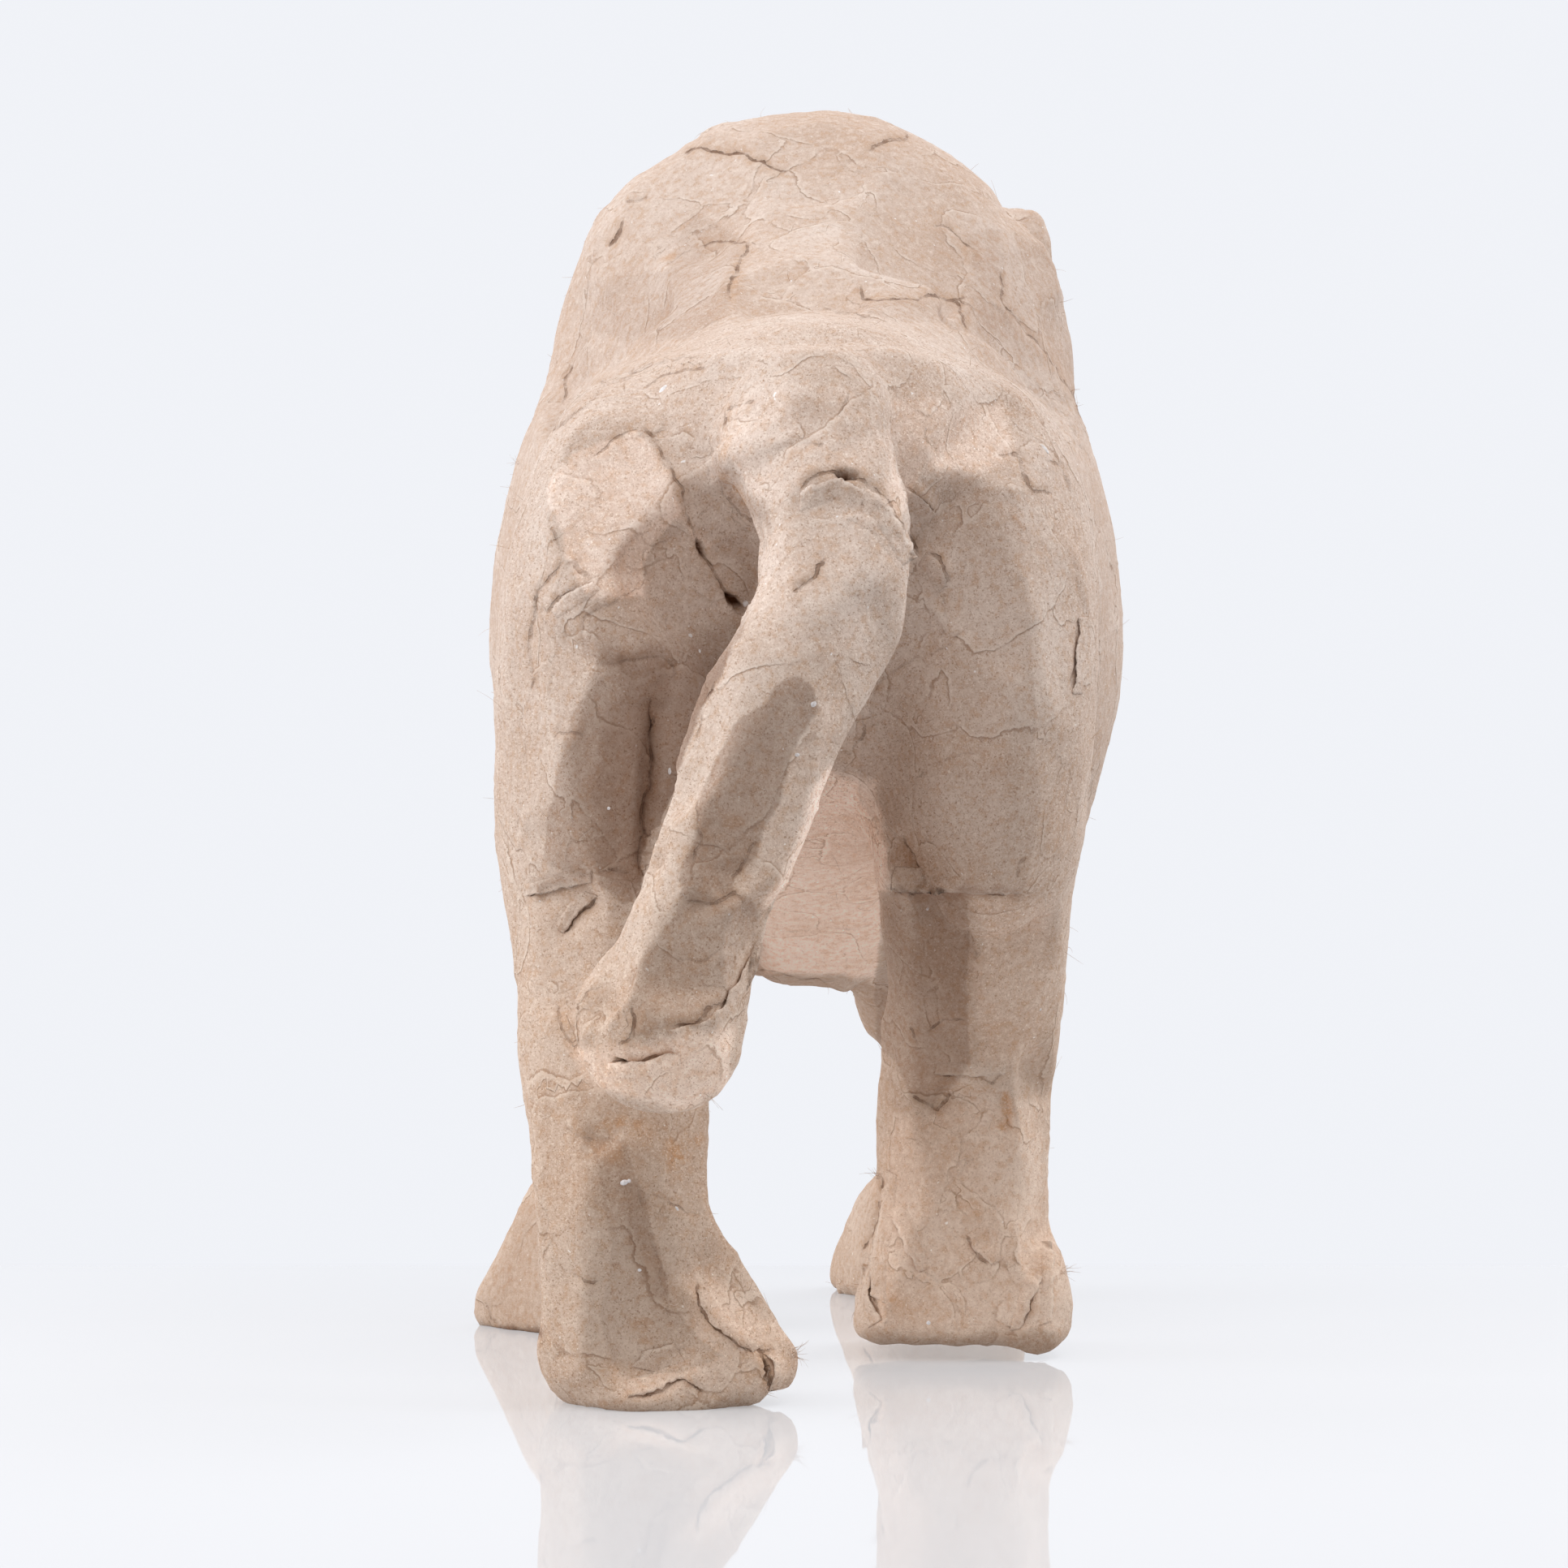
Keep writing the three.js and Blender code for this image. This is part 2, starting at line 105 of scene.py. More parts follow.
def noise(points, size, seed=0):
    # random values on a lattice of cubes of that size, run together smoothly, from -1 to 1
    cell = points / size + seed * 17.31
    corner = np.floor(cell).astype(np.int64)
    share = cell - corner
    share = share * share * (3 - 2 * share)
    total = np.zeros(len(points))
    for bits in range(8):
        step = np.array([bits & 1, (bits >> 1) & 1, bits >> 2])
        weight = np.prod(np.where(step, share, 1 - share), axis=1)
        key = (corner + step) @ np.array([73856093, 19349663, 83492791])
        total += weight * noiseTable[(key ^ (key >> 13)) % 4096]
    return total


def normalsOf(points, faces):
    a, b, c = (points[faces[:, k]] for k in range(3))
    flat = np.cross(b - a, c - a)
    spread = np.repeat(flat, 3, axis=0)
    total = [np.bincount(faces.ravel(), spread[:, k], len(points)) for k in range(3)]
    total = np.stack(total, axis=1)
    return total / np.maximum(np.linalg.norm(total, axis=1, keepdims=True), 1e-12)


def edgesOf(faces):
    pairs = np.sort(np.concatenate([faces[:, [0, 1]], faces[:, [1, 2]], faces[:, [2, 0]]]), axis=1)
    code = pairs[:, 0] * (pairs.max() + 1) + pairs[:, 1]
    _, first, back = np.unique(code, return_index=True, return_inverse=True)
    return pairs[first], back.reshape(3, -1).T


def neighbourMean(values, edges):
    # the mean of each vertex's neighbours, for an array of one or more columns
    columns = values.reshape(len(values), -1)
    ends = np.concatenate([edges[:, 0], edges[:, 1]])
    others = np.concatenate([edges[:, 1], edges[:, 0]])
    counts = np.maximum(np.bincount(ends, minlength=len(values)), 1)
    sums = [np.bincount(ends, columns[others, k], len(values)) for k in range(columns.shape[1])]
    return (np.stack(sums, axis=1) / counts[:, None]).reshape(values.shape)


def splitLong(points, faces, wanted):
    # Halves each edge that is longer than wanted. The new point bulges as a round surface would, half way to
    # the planes that touch the surface at the edge's ends.
    edges, ofFace = edgesOf(faces)
    a, b = points[edges[:, 0]], points[edges[:, 1]]
    normals = normalsOf(points, faces)
    na, nb = normals[edges[:, 0]], normals[edges[:, 1]]
    middle = (a + b) / 2
    toA = np.sum((middle - a) * na, axis=1, keepdims=True) * na
    toB = np.sum((middle - b) * nb, axis=1, keepdims=True) * nb
    middle = middle - (toA + toB) / 4
    mixed = np.minimum(wanted[edges[:, 0]], wanted[edges[:, 1]])
    long = np.linalg.norm(b - a, axis=1) > mixed * 1.4
    newIndex = np.cumsum(long) - 1 + len(points)
    marks = long[ofFace]
    mids = newIndex[ofFace]
    count = marks.sum(axis=1)
    made = [faces[count == 0]]
    for k in range(3):
        u, v, w = (faces[:, (k + n) % 3] for n in range(3))
        m, n = mids[:, k], mids[:, (k + 1) % 3]
        one = (count == 1) & marks[:, k]
        made += [np.stack([u, m, w], 1)[one], np.stack([m, v, w], 1)[one]]
        two = (count == 2) & marks[:, k] & marks[:, (k + 1) % 3]
        made += [np.stack(t, 1)[two] for t in ([m, v, n], [u, m, n], [u, n, w])]
    three = count == 3
    u, v, w = faces[three].T
    m, n, o = mids[three].T
    made += [np.stack(t, 1) for t in ([u, m, o], [v, n, m], [w, o, n], [m, n, o])]
    return (
        np.concatenate([points, middle[long]]),
        np.concatenate(made),
        np.concatenate([wanted, mixed[long]]),
    )


def relax(points, faces, amount):
    # evens the mesh out along the surface, without moving it in or out
    edges, _ = edgesOf(faces)
    normals = normalsOf(points, faces)
    shift = neighbourMean(points, edges) - points
    shift -= np.sum(shift * normals, axis=1, keepdims=True) * normals
    return points + shift * amount


def seenByCamera(points, faces):
    # 1 where the camera sees a vertex, 0 where it's turned away or hidden
    tree = BVHTree.FromPolygons(points.tolist(), faces.tolist())
    normals = normalsOf(points, faces)
    toCamera = cameraAt - points
    toCamera /= np.linalg.norm(toCamera, axis=1, keepdims=True)
    facing = np.sum(normals * toCamera, axis=1)
    seen = np.zeros(len(points))
    starts = points + normals * 0.4
    for i in np.flatnonzero(facing > -0.1):
        if tree.ray_cast(Vector(starts[i]), Vector(toCamera[i]))[0] is None:
            seen[i] = 1
    return seen


def cadSurface(name):
    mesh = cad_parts[name].data
    places = np.empty(len(mesh.vertices) * 3, np.float32)
    mesh.vertices.foreach_get("co", places)
    mesh.calc_loop_triangles()
    corners = np.empty(len(mesh.loop_triangles) * 3, np.int32)
    mesh.loop_triangles.foreach_get("vertices", corners)
    rounded = np.round(places.reshape(-1, 3) * 1000.0, 3)
    points, back = np.unique(rounded, axis=0, return_inverse=True)
    faces = back.reshape(-1)[corners.reshape(-1, 3)]
    flat = (faces[:, 0] == faces[:, 1]) | (faces[:, 1] == faces[:, 2]) | (faces[:, 2] == faces[:, 0])
    return points, faces[~flat]


def makePiece(name, points, faces, material, attributes=None, slot=None):
    # a mesh from millimetres, at the origin, riding on the lion's body
    mesh = bpy.data.meshes.new(name)
    mesh.vertices.add(len(points))
    mesh.vertices.foreach_set("co", (points / 1000).astype(np.float32).ravel())
    mesh.loops.add(faces.size)
    mesh.loops.foreach_set("vertex_index", faces.astype(np.int32).ravel())
    mesh.polygons.add(len(faces))
    mesh.polygons.foreach_set("loop_start", np.arange(0, faces.size, 3, dtype=np.int32))
    mesh.update(calc_edges=True)
    mesh.validate()
    mesh.shade_smooth()
    for key, values in (attributes or {}).items():
        layer = mesh.attributes.new(key, "FLOAT", "POINT")
        layer.data.foreach_set("value", values.astype(np.float32))
    piece = bpy.data.objects.new(name, mesh)
    bpy.context.scene.collection.objects.link(piece)
    mesh.materials.append(material)
    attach(piece, "root")
    return piece


def lineOnPhoto(line, across, down):
    # for points by pixel: the distance to a line, which side they are on, and the share of the way along it
    line = np.asarray(line, float)
    start, step = line[:-1], np.diff(line, axis=0)
    length = np.maximum(np.linalg.norm(step, axis=1), 1e-9)
    travelled = np.concatenate([[0], np.cumsum(length)])
    away = np.stack([across, down], 1)[:, None] - start
    share = np.clip(np.sum(away * step, axis=2) / length**2, 0, 1)
    off = away - share[..., None] * step
    distance = np.linalg.norm(off, axis=2)
    nearest = np.argmin(distance, axis=1)
    rows = np.arange(len(nearest))
    off, step = off[rows, nearest], step[nearest]
    side = np.sign(step[:, 0] * off[:, 1] - step[:, 1] * off[:, 0])
    along = (travelled[nearest] + share[rows, nearest] * length[nearest]) / travelled[-1]
    return distance[rows, nearest], side, along


# Creases and cracks that the photograph shows: how deep (0 to 3), then pixels along each
creases = [
    # back of the mane
    (2.0, (838, 195), (877, 188), (922, 191), (953, 209), (975, 214)),
    (1.4, (773, 251), (801, 244)),
    (1.7, (751, 306), (765, 287), (772, 270)),
    (1.5, (857, 308), (922, 298), (908, 336), (897, 352), (899, 378)),
    (1.4, (692, 504), (697, 470), (706, 448)),
    (1.5, (1072, 193), (1075, 183), (1114, 174), (1121, 166)),
    (1.7, (1143, 280), (1173, 288), (1204, 310)),
    (1.7, (1062, 347), (1064, 371), (1083, 374), (1128, 372), (1142, 365), (1198, 368)),
    (1.5, (1176, 372), (1184, 395), (1193, 409)),
    (1.5, (1235, 324), (1234, 353), (1238, 383), (1269, 417), (1291, 445), (1322, 493), (1339, 529)),
    (1.1, (1010, 381), (1055, 389), (1072, 395)),
    (0.9, (820, 330), (836, 318), (857, 308)),
    (0.7, (1020, 225), (1048, 200), (1072, 193)),
    # rump's crest
    (1.0, (655, 548), (672, 532), (742, 473), (807, 449), (841, 441), (877, 441)),
    (1.2, (793, 484), (807, 473), (841, 459), (874, 451)),
    (0.7, (1240, 470), (1290, 500), (1322, 534), (1340, 575)),
    # left hip
    (1.3, (782, 521), (802, 535), (827, 572), (842, 606), (845, 634), (861, 670), (882, 712), (914, 751)),
    (1.1, (788, 528), (760, 541), (731, 566)),
    (1.0, (675, 625), (684, 656), (702, 687), (726, 709), (743, 735)),
    (1.3, (702, 687), (681, 709), (661, 737), (657, 771), (656, 813), (653, 861)),
    (1.4, (661, 743), (678, 754), (689, 737), (720, 726), (729, 715), (703, 690)),
    (0.9, (842, 648), (818, 667), (792, 678), (793, 721), (776, 732), (720, 760), (717, 802)),
    (1.0, (717, 802), (748, 819), (782, 813), (816, 808), (830, 827), (824, 847)),
    (1.3, (810, 868), (799, 902), (802, 967), (790, 1017), (796, 1079)),
    (0.7, (653, 866), (647, 910), (654, 972), (633, 1056)),
    (1.2, (684, 910), (692, 903), (720, 906)),
    (1.7, (650, 1105), (701, 1090), (729, 1084)),
    (1.7, (737, 1104), (715, 1124), (692, 1152)),
    (1.2, (746, 1068), (765, 1075), (776, 1076)),
    (0.6, (800, 545), (822, 522), (818, 500)),
    (0.6, (700, 560), (735, 524), (782, 500)),
    # tail's root
    (1.2, (891, 533), (894, 507), (908, 500), (934, 493)),
    (1.0, (883, 586), (891, 608), (914, 634), (939, 642)),
    (0.9, (970, 547), (1018, 552)),
    (1.4, (985, 608), (996, 592), (1027, 582), (1041, 585), (1064, 594), (1069, 611)),
    (1.4, (1069, 597), (1095, 620), (1117, 656), (1134, 690)),
    (0.7, (858, 640), (880, 622), (905, 640), (930, 660)),
    (0.8, (1033, 520), (1040, 500), (1046, 478)),
    # tail
    (1.5, (978, 735), (1006, 712), (1018, 690)),
    (1.4, (932, 1034), (918, 1058), (900, 1084)),
    (1.2, (865, 983), (863, 1040), (853, 1068)),
    (1.3, (841, 1110), (875, 1114), (905, 1101), (917, 1112)),
    (0.8, (830, 1183), (866, 1185), (908, 1160)),
    (1.5, (931, 1160), (917, 1197), (900, 1228), (855, 1264), (821, 1265)),
    (1.5, (779, 1239), (782, 1275), (762, 1289)),
    (1.6, (752, 1308), (790, 1310), (838, 1296)),
    (0.9, (762, 1216), (760, 1240), (764, 1262)),
    (0.9, (885, 838), (868, 880), (858, 916)),
    (0.7, (1040, 640), (1075, 660), (1100, 690)),
    (1.0, (754, 1216), (726, 1222), (715, 1239), (712, 1264), (717, 1298)),
    (1.2, (687, 1239), (692, 1264), (712, 1298)),
    # right hip
    (1.0, (1140, 527), (1140, 544), (1154, 558)),
    (1.3, (1117, 600), (1128, 612), (1140, 620), (1151, 631)),
    (1.3, (1142, 681), (1156, 687), (1162, 704), (1168, 721)),
    (0.9, (1162, 730), (1165, 760), (1161, 790)),
    (1.2, (1224, 561), (1252, 561), (1269, 606), (1300, 608)),
    (0.9, (1283, 568), (1305, 577), (1318, 614)),
    (1.2, (1330, 760), (1325, 791), (1322, 855)),
    (0.8, (1064, 878), (1081, 841), (1128, 810), (1170, 796), (1198, 774)),
    (0.8, (1117, 958), (1156, 941), (1229, 930)),
    (1.1, (1067, 868), (1065, 902), (1047, 927), (1034, 919)),
    (0.6, (1240, 610), (1262, 650), (1270, 700), (1262, 760)),
    (0.6, (1318, 640), (1322, 700), (1326, 750)),
    # right hind leg
    (1.8, (1112, 1026), (1128, 1051), (1145, 1087), (1156, 1099)),
    (2.1, (1095, 1093), (1117, 1099), (1190, 1097), (1263, 1099)),
    (1.0, (1263, 1051), (1255, 1068), (1252, 1093)),
    (1.1, (1140, 1275), (1162, 1256), (1193, 1256)),
    (1.2, (1123, 1264), (1134, 1289)),
    (1.6, (1122, 1349), (1144, 1361), (1156, 1367), (1174, 1346)),
    (1.2, (1156, 1324), (1199, 1323), (1223, 1334), (1235, 1318)),
    (0.6, (1235, 1346), (1243, 1362), (1245, 1395)),
    (1.0, (1180, 1453), (1190, 1432), (1202, 1424)),
    (1.6, (1089, 1447), (1085, 1496), (1060, 1545)),
    (1.8, (1078, 1569), (1073, 1594), (1085, 1621)),
    (1.6, (1095, 1490), (1110, 1514), (1118, 1540)),
    (0.9, (1118, 1540), (1128, 1563), (1168, 1585)),
    (1.2, (1190, 1520), (1199, 1539), (1220, 1557)),
    (1.4, (1287, 1575), (1272, 1594), (1260, 1631), (1238, 1635)),
    (0.8, (1110, 1400), (1150, 1410), (1200, 1398)),
    # left hind leg and foot
    (0.9, (698, 1389), (716, 1403), (734, 1406)),
    (1.3, (707, 1569), (728, 1580), (744, 1576)),
    (1.0, (799, 1467), (823, 1482), (866, 1499)),
    (0.7, (759, 1407), (790, 1480), (815, 1560), (835, 1637)),
    (1.7, (858, 1575), (861, 1606), (881, 1634), (912, 1658), (936, 1666), (961, 1664)),
    (1.5, (933, 1667), (949, 1686), (946, 1719)),
    (1.4, (783, 1722), (808, 1715), (826, 1701), (845, 1698), (872, 1716)),
    (0.8, (655, 1440), (668, 1480), (672, 1540)),
    # belly
    (0.7, (960, 1149), (1016, 1141), (1081, 1136)),
    (1.2, (930, 1197), (960, 1197), (996, 1206), (1041, 1208)),
    (0.7, (1041, 1163), (1041, 1197)),
    # left forefoot
    (1.0, (600, 1600), (606, 1622), (622, 1636)),
]


def ragged(line, rng, wander):
    # a line with points between its own, set off sideways as a tear wanders
    line = np.asarray(line, float)
    for _ in range(3):
        middle = (line[1:] + line[:-1]) / 2
        step = np.diff(line, axis=0)
        middle += np.stack([-step[:, 1], step[:, 0]], 1) * rng.normal(0, wander, (len(step), 1))
        joined = np.empty((len(line) + len(middle), 2))
        joined[0::2], joined[1::2] = line, middle
        line = joined
    return line


def tornLines():
    # each crease as a ragged line, with how deep it is and which of its sides stands up
    rng = np.random.default_rng(3)
    return [(depth, rng.choice([-1, 1]), ragged(line, rng, 0.07)) for depth, *line in creases]


creaseLines = tornLines()


# The skin: the CAD surface, split finely where the camera looks and coarser elsewhere
skinSettings = {
    "seenEdge": 1.04,
    "creaseEdge": 0.52,
    "creaseReach": 1.15,
    "hiddenEdge": 2.6,
    "rounds": 6,
}


def nearCrease(points, reach):
    # whether each point lies within that many mm of a crease, by its place in the photograph
    across, down, depth = toPhoto(points)
    found = np.zeros(len(points), bool)
    for _, _, line in creaseLines:
        close = np.flatnonzero(boxed(line, 20, across, down))
        distance, _, _ = lineOnPhoto(line, across[close], down[close])
        found[close] |= distance * depth[close] / cameraSettings["focalPixels"] < reach
    return found


def fineSkin():
    points, faces = cadSurface("papier_mache_lion")
    for _ in range(2):
        points, faces, _ = splitLong(points, faces, np.full(len(points), 1.9))
        points = relax(points, faces, 0.5)
    seen = seenByCamera(points, faces)
    edges, _ = edgesOf(faces)
    for _ in range(2):
        seen = np.maximum(seen, (neighbourMean(seen, edges) > 0.3) * 1.0)
    wanted = np.where(seen > 0.5, skinSettings["seenEdge"], skinSettings["hiddenEdge"])
    for turn in range(skinSettings["rounds"]):
        if turn > 1:
            fine = nearCrease(points, skinSettings["creaseReach"]) & (wanted < skinSettings["hiddenEdge"])
            wanted = np.where(fine, skinSettings["creaseEdge"], np.maximum(wanted, skinSettings["seenEdge"]))
        points, faces, wanted = splitLong(points, faces, wanted)
        points = relax(points, faces, 0.4)
    return points, faces


skinPoints, skinFaces = fineSkin()
skinEdges, _ = edgesOf(skinFaces)
skinSeen = seenByCamera(skinPoints, skinFaces)
print("skin", len(skinPoints), "points", len(skinFaces), "triangles,", int(skinSeen.sum()), "seen")


def unit(vector):
    vector = np.asarray(vector, float)
    return vector / np.linalg.norm(vector)


class Skin:
    # the skin's points while it's worked on, with what each mark needs to find its place
    def __init__(self, points, faces, edges, seen):
        self.points = points
        self.faces = faces
        self.edges = edges
        self.seen = seen > 0.5
        self.near = np.maximum(seen, neighbourMean(seen, edges)) > 0.1
        self.look()

    def look(self):
        self.normals = normalsOf(self.points, self.faces)
        self.across, self.down, self.depth = toPhoto(self.points)
        self.perPixel = self.depth / cameraSettings["focalPixels"]

    def at(self, across, down):
        # the seen point nearest to a pixel
        gap = np.hypot(self.across - across, self.down - down) + np.where(self.seen, 0, 1e6)
        return self.points[np.argmin(gap)]

    def press(self, height):
        # moves the surface out by a height in mm, or in where it's less than 0
        self.points = self.points + self.normals * height[:, None]

    def soften(self, rounds, amount=0.5, share=None):
        for _ in range(rounds):
            shift = (neighbourMean(self.points, self.edges) - self.points) * amount
            self.points = self.points + (shift if share is None else shift * share[:, None])


skin = Skin(skinPoints, skinFaces, skinEdges, skinSeen)

# Flat places where the stiff paper bridges the form under it: the pixel in the middle, the way the flat faces,
# how deep it cuts in mm, its half width and half height in pixels with its lean in degrees, and how far in mm
# it bridges what lies lower, where that is more than the usual
flats = [
    # tail
    (1020, 700, (0.02, -0.84, 0.54), 0.5, 80, 90, -20),
    (950, 960, (0.2, -0.96, -0.2), 1.3, 75, 130, 24),
    (890, 870, (-0.82, -0.55, 0.15), 0.7, 40, 130, 30),
    (1030, 850, (0.82, -0.56, 0.1), 0.6, 40, 120, 28),
    (850, 1150, (0.02, -0.93, -0.36), 1.0, 75, 80, 25),
    (775, 1140, (-0.85, -0.5, 0.0), 0.6, 30, 110, 22),
    (820, 1312, (-0.05, -0.9, -0.4), 0.5, 90, 40, 10),
    (915, 1200, (0.85, -0.5, 0.05), 0.6, 35, 90, 22),
    # left hip and leg
    (765, 630, (-0.44, -0.7, 0.56), 0.9, 105, 100, 25, 1.2),
    (850, 720, (0.35, -0.88, -0.3), 0.8, 80, 60, 35),
    (752, 960, (0.3, -0.94, -0.16), 1.8, 62, 150, 0),
    (650, 930, (-0.84, -0.54, 0.05), 0.8, 45, 180, 0),
    (690, 860, (-0.55, -0.8, 0.22), 0.6, 50, 70, 0),
    (700, 1170, (-0.45, -0.85, 0.28), 0.8, 60, 70, 0),
    (775, 1470, (0.22, -0.96, -0.18), 0.9, 42, 170, -14),
    (840, 1460, (0.72, -0.68, 0.1), 0.6, 35, 120, -8),
    (700, 1480, (-0.82, -0.56, 0.1), 0.6, 30, 140, 0),
    (790, 1620, (0.15, -0.96, -0.24), 1.0, 70, 80, 0),
    (915, 1620, (0.45, -0.55, 0.7), 1.2, 80, 75, 40),
    (700, 1650, (-0.8, -0.6, 0.05), 0.7, 35, 80, 0),
    # right hip and leg
    (1190, 720, (0.06, -0.98, 0.16), 1.1, 100, 120, 0),
    (1180, 880, (0.0, -0.99, -0.12), 1.2, 110, 120, 0),
    (1190, 1010, (0.0, -0.93, -0.36), 1.0, 100, 60, 0),
    (1310, 800, (0.86, -0.5, 0.05), 0.7, 40, 220, 0),
    (1240, 560, (0.3, -0.6, 0.75), 1.0, 80, 60, -20),
    (1160, 1220, (-0.2, -0.96, -0.16), 1.3, 38, 150, 0),
    (1245, 1220, (0.6, -0.8, 0.05), 0.8, 45, 150, 0),
    (1190, 1450, (0.0, -0.99, 0.1), 0.8, 80, 90, 0),
    (1275, 1430, (0.85, -0.52, 0.0), 0.5, 25, 120, 0),
    (1180, 1600, (0.02, -0.97, 0.16), 0.8, 110, 50, 0),
    # mane and back
    (1000, 195, (0.0, -0.7, 0.7), 1.0, 110, 50, 0),
    (850, 245, (-0.35, -0.7, 0.62), 1.3, 80, 62, -30),
    (748, 390, (-0.62, -0.7, 0.33), 1.2, 60, 90, 10),
    (985, 330, (-0.05, -0.82, 0.56), 0.9, 100, 55, 0),
    (1150, 300, (0.32, -0.74, 0.58), 1.2, 78, 75, 20),
    (1250, 400, (0.72, -0.62, 0.3), 1.0, 70, 130, -10),
    (720, 470, (-0.82, -0.52, 0.2), 0.6, 40, 100, 8),
]


flatSettings = {"usualBridge": 0.35, "blend": (0.95, 1.35), "within": 12}


def cutFlats():
    for across, down, facing, sink, halfWide, halfHigh, lean, *bridge in flats:
        reach = reachFrom(skin.across - across, skin.down - down, halfWide, halfHigh, lean)
        top = skin.at(across, down)
        around = (reach < 0.6) & skin.seen & (np.linalg.norm(skin.points - top, axis=1) < flatSettings["within"])
        facing = unit(unit(facing) + unit(skin.normals[around].mean(axis=0)))
        middle = top - facing * sink
        above = (skin.points - middle) @ facing
        share = (1 - smooth(reach, *flatSettings["blend"])) * skin.near * smooth(skin.normals @ facing, 0.0, 0.3)
        share *= 1 - smooth(above, sink * 2 + 2.5, sink * 2 + 5)
        bridged = -(bridge[0] if bridge else flatSettings["usualBridge"])
        share *= smooth(above, bridged * 2.5, bridged * 1.2)
        skin.points = skin.points - facing * (np.maximum(above, bridged) * share)[:, None]


bridging = {"count": 300, "cut": (0.15, 0.5), "reach": (7, 15), "seed": 5}


def cutSmallFlats():
    # the same all over, where no photograph says: each flat lies across a random point
    rng = np.random.default_rng(bridging["seed"])
    for index in rng.integers(0, len(skin.points), bridging["count"]):
        cut = rng.uniform(*bridging["cut"])
        reach = rng.uniform(*bridging["reach"])
        facing = unit(skin.normals[index] + rng.normal(0, 0.1, 3))
        if skin.near[index]:
            continue
        away = skin.points - skin.points[index]
        distance = np.linalg.norm(away, axis=1)
        height = away @ facing
        highest = height[distance < reach * 0.8].max()
        above = np.clip(height - highest + cut, 0, cut)
        share = (1 - smooth(distance / reach, 0.7, 1.2)) * smooth(skin.normals @ facing, 0.2, 0.6)
        skin.points = skin.points - facing * (above * share)[:, None]


# Holes: the pixel in the middle, half length and half width in pixels, lean in degrees and depth in mm
holes = [
    (1043, 586, 16, 5, 8, 1.8),
    (903, 740, 15, 6, 50, 2.2),
    (946, 1692, 18, 3, 78, 1.2),
    (768, 1306, 8, 3, 20, 0.8),
    (862, 676, 13, 4, 68, 1.0),
]


def inHole(across, down, hole):
    # 1 in the middle of a hole and 0 at its rim and outside
    middleAcross, middleDown, halfLong, halfWide, lean, _ = hole
    reach = reachFrom(across - middleAcross, down - middleDown, halfLong, halfWide, lean)
    return 1 - smooth(reach, 0.45, 1.15)


# Hollows (depth over 0) and swells (under 0): pixels along the middle, half width in mm and depth in mm
hollows = [
    # the lump that the tail hangs from
    ([(905, 545), (925, 580)], 4.6, -2.8),
    ([(960, 490), (1040, 490), (1070, 540)], 4.0, -1.4),
    # beside the tail's root, left and right
    ([(878, 540), (884, 600), (912, 652), (930, 700)], 2.6, 1.3),
    ([(1100, 500), (1108, 570), (1114, 630)], 1.8, 1.0),
    ([(905, 700), (900, 740), (885, 775)], 3.0, 0.8),
    # the cleft between the left thigh and the inner bulge, and the bulge
    ([(812, 850), (802, 930), (796, 1010), (794, 1085)], 2.0, 2.6),
    ([(850, 820), (842, 900), (836, 960)], 2.4, -1.3),
    # under the right buttock, above the seam on the right leg
    ([(1100, 1108), (1150, 1116), (1200, 1116), (1258, 1112)], 1.8, 1.3),
    ([(1100, 1076), (1150, 1082), (1200, 1082), (1258, 1080)], 2.2, -0.9),
    ([(1100, 1030), (1125, 1060), (1150, 1095)], 1.7, 1.2),
    # dark band on the right shank
    ([(1160, 1130), (1162, 1220), (1162, 1340)], 3.4, 0.7),
    # behind the knee of the left leg
    ([(655, 1105), (700, 1093), (735, 1085)], 1.5, 1.1),
    ([(737, 1106), (715, 1126), (692, 1154)], 1.3, 1.0),
    # torn lump on the right hip
    ([(1140, 690), (1152, 700), (1164, 716)], 1.6, -1.0),
    ([(1118, 602), (1135, 618), (1150, 632)], 1.2, -0.8),
    # the tail's lower lip and the fold above it
    ([(752, 1306), (790, 1304), (838, 1294)], 1.1, 1.0),
    ([(900, 1100), (870, 1112), (845, 1112)], 1.6, 0.9),
    # ankle dents
    ([(1123, 1350), (1150, 1366), (1176, 1352)], 2.0, 1.1),
    ([(1235, 1346), (1241, 1370), (1245, 1392)], 1.0, 0.8),
    ([(720, 1400), (742, 1404), (762, 1398)], 1.8, 0.9),
    # the rump's crest stands out over the mane behind it
    ([(668, 535), (742, 474), (807, 450), (874, 446), (960, 440), (1100, 440), (1200, 462), (1300, 520)], 1.4, -0.7),
    ([(660, 520), (738, 456), (803, 434), (874, 430), (960, 424), (1100, 424), (1205, 446), (1310, 508)], 1.3, 0.6),
    ([(1143, 270), (1140, 330), (1136, 372)], 1.2, -0.35),
    ([(1236, 290), (1228, 340), (1236, 390)], 1.4, -0.45),
    ([(905, 300), (900, 345), (893, 385)], 1.3, -0.4),
]


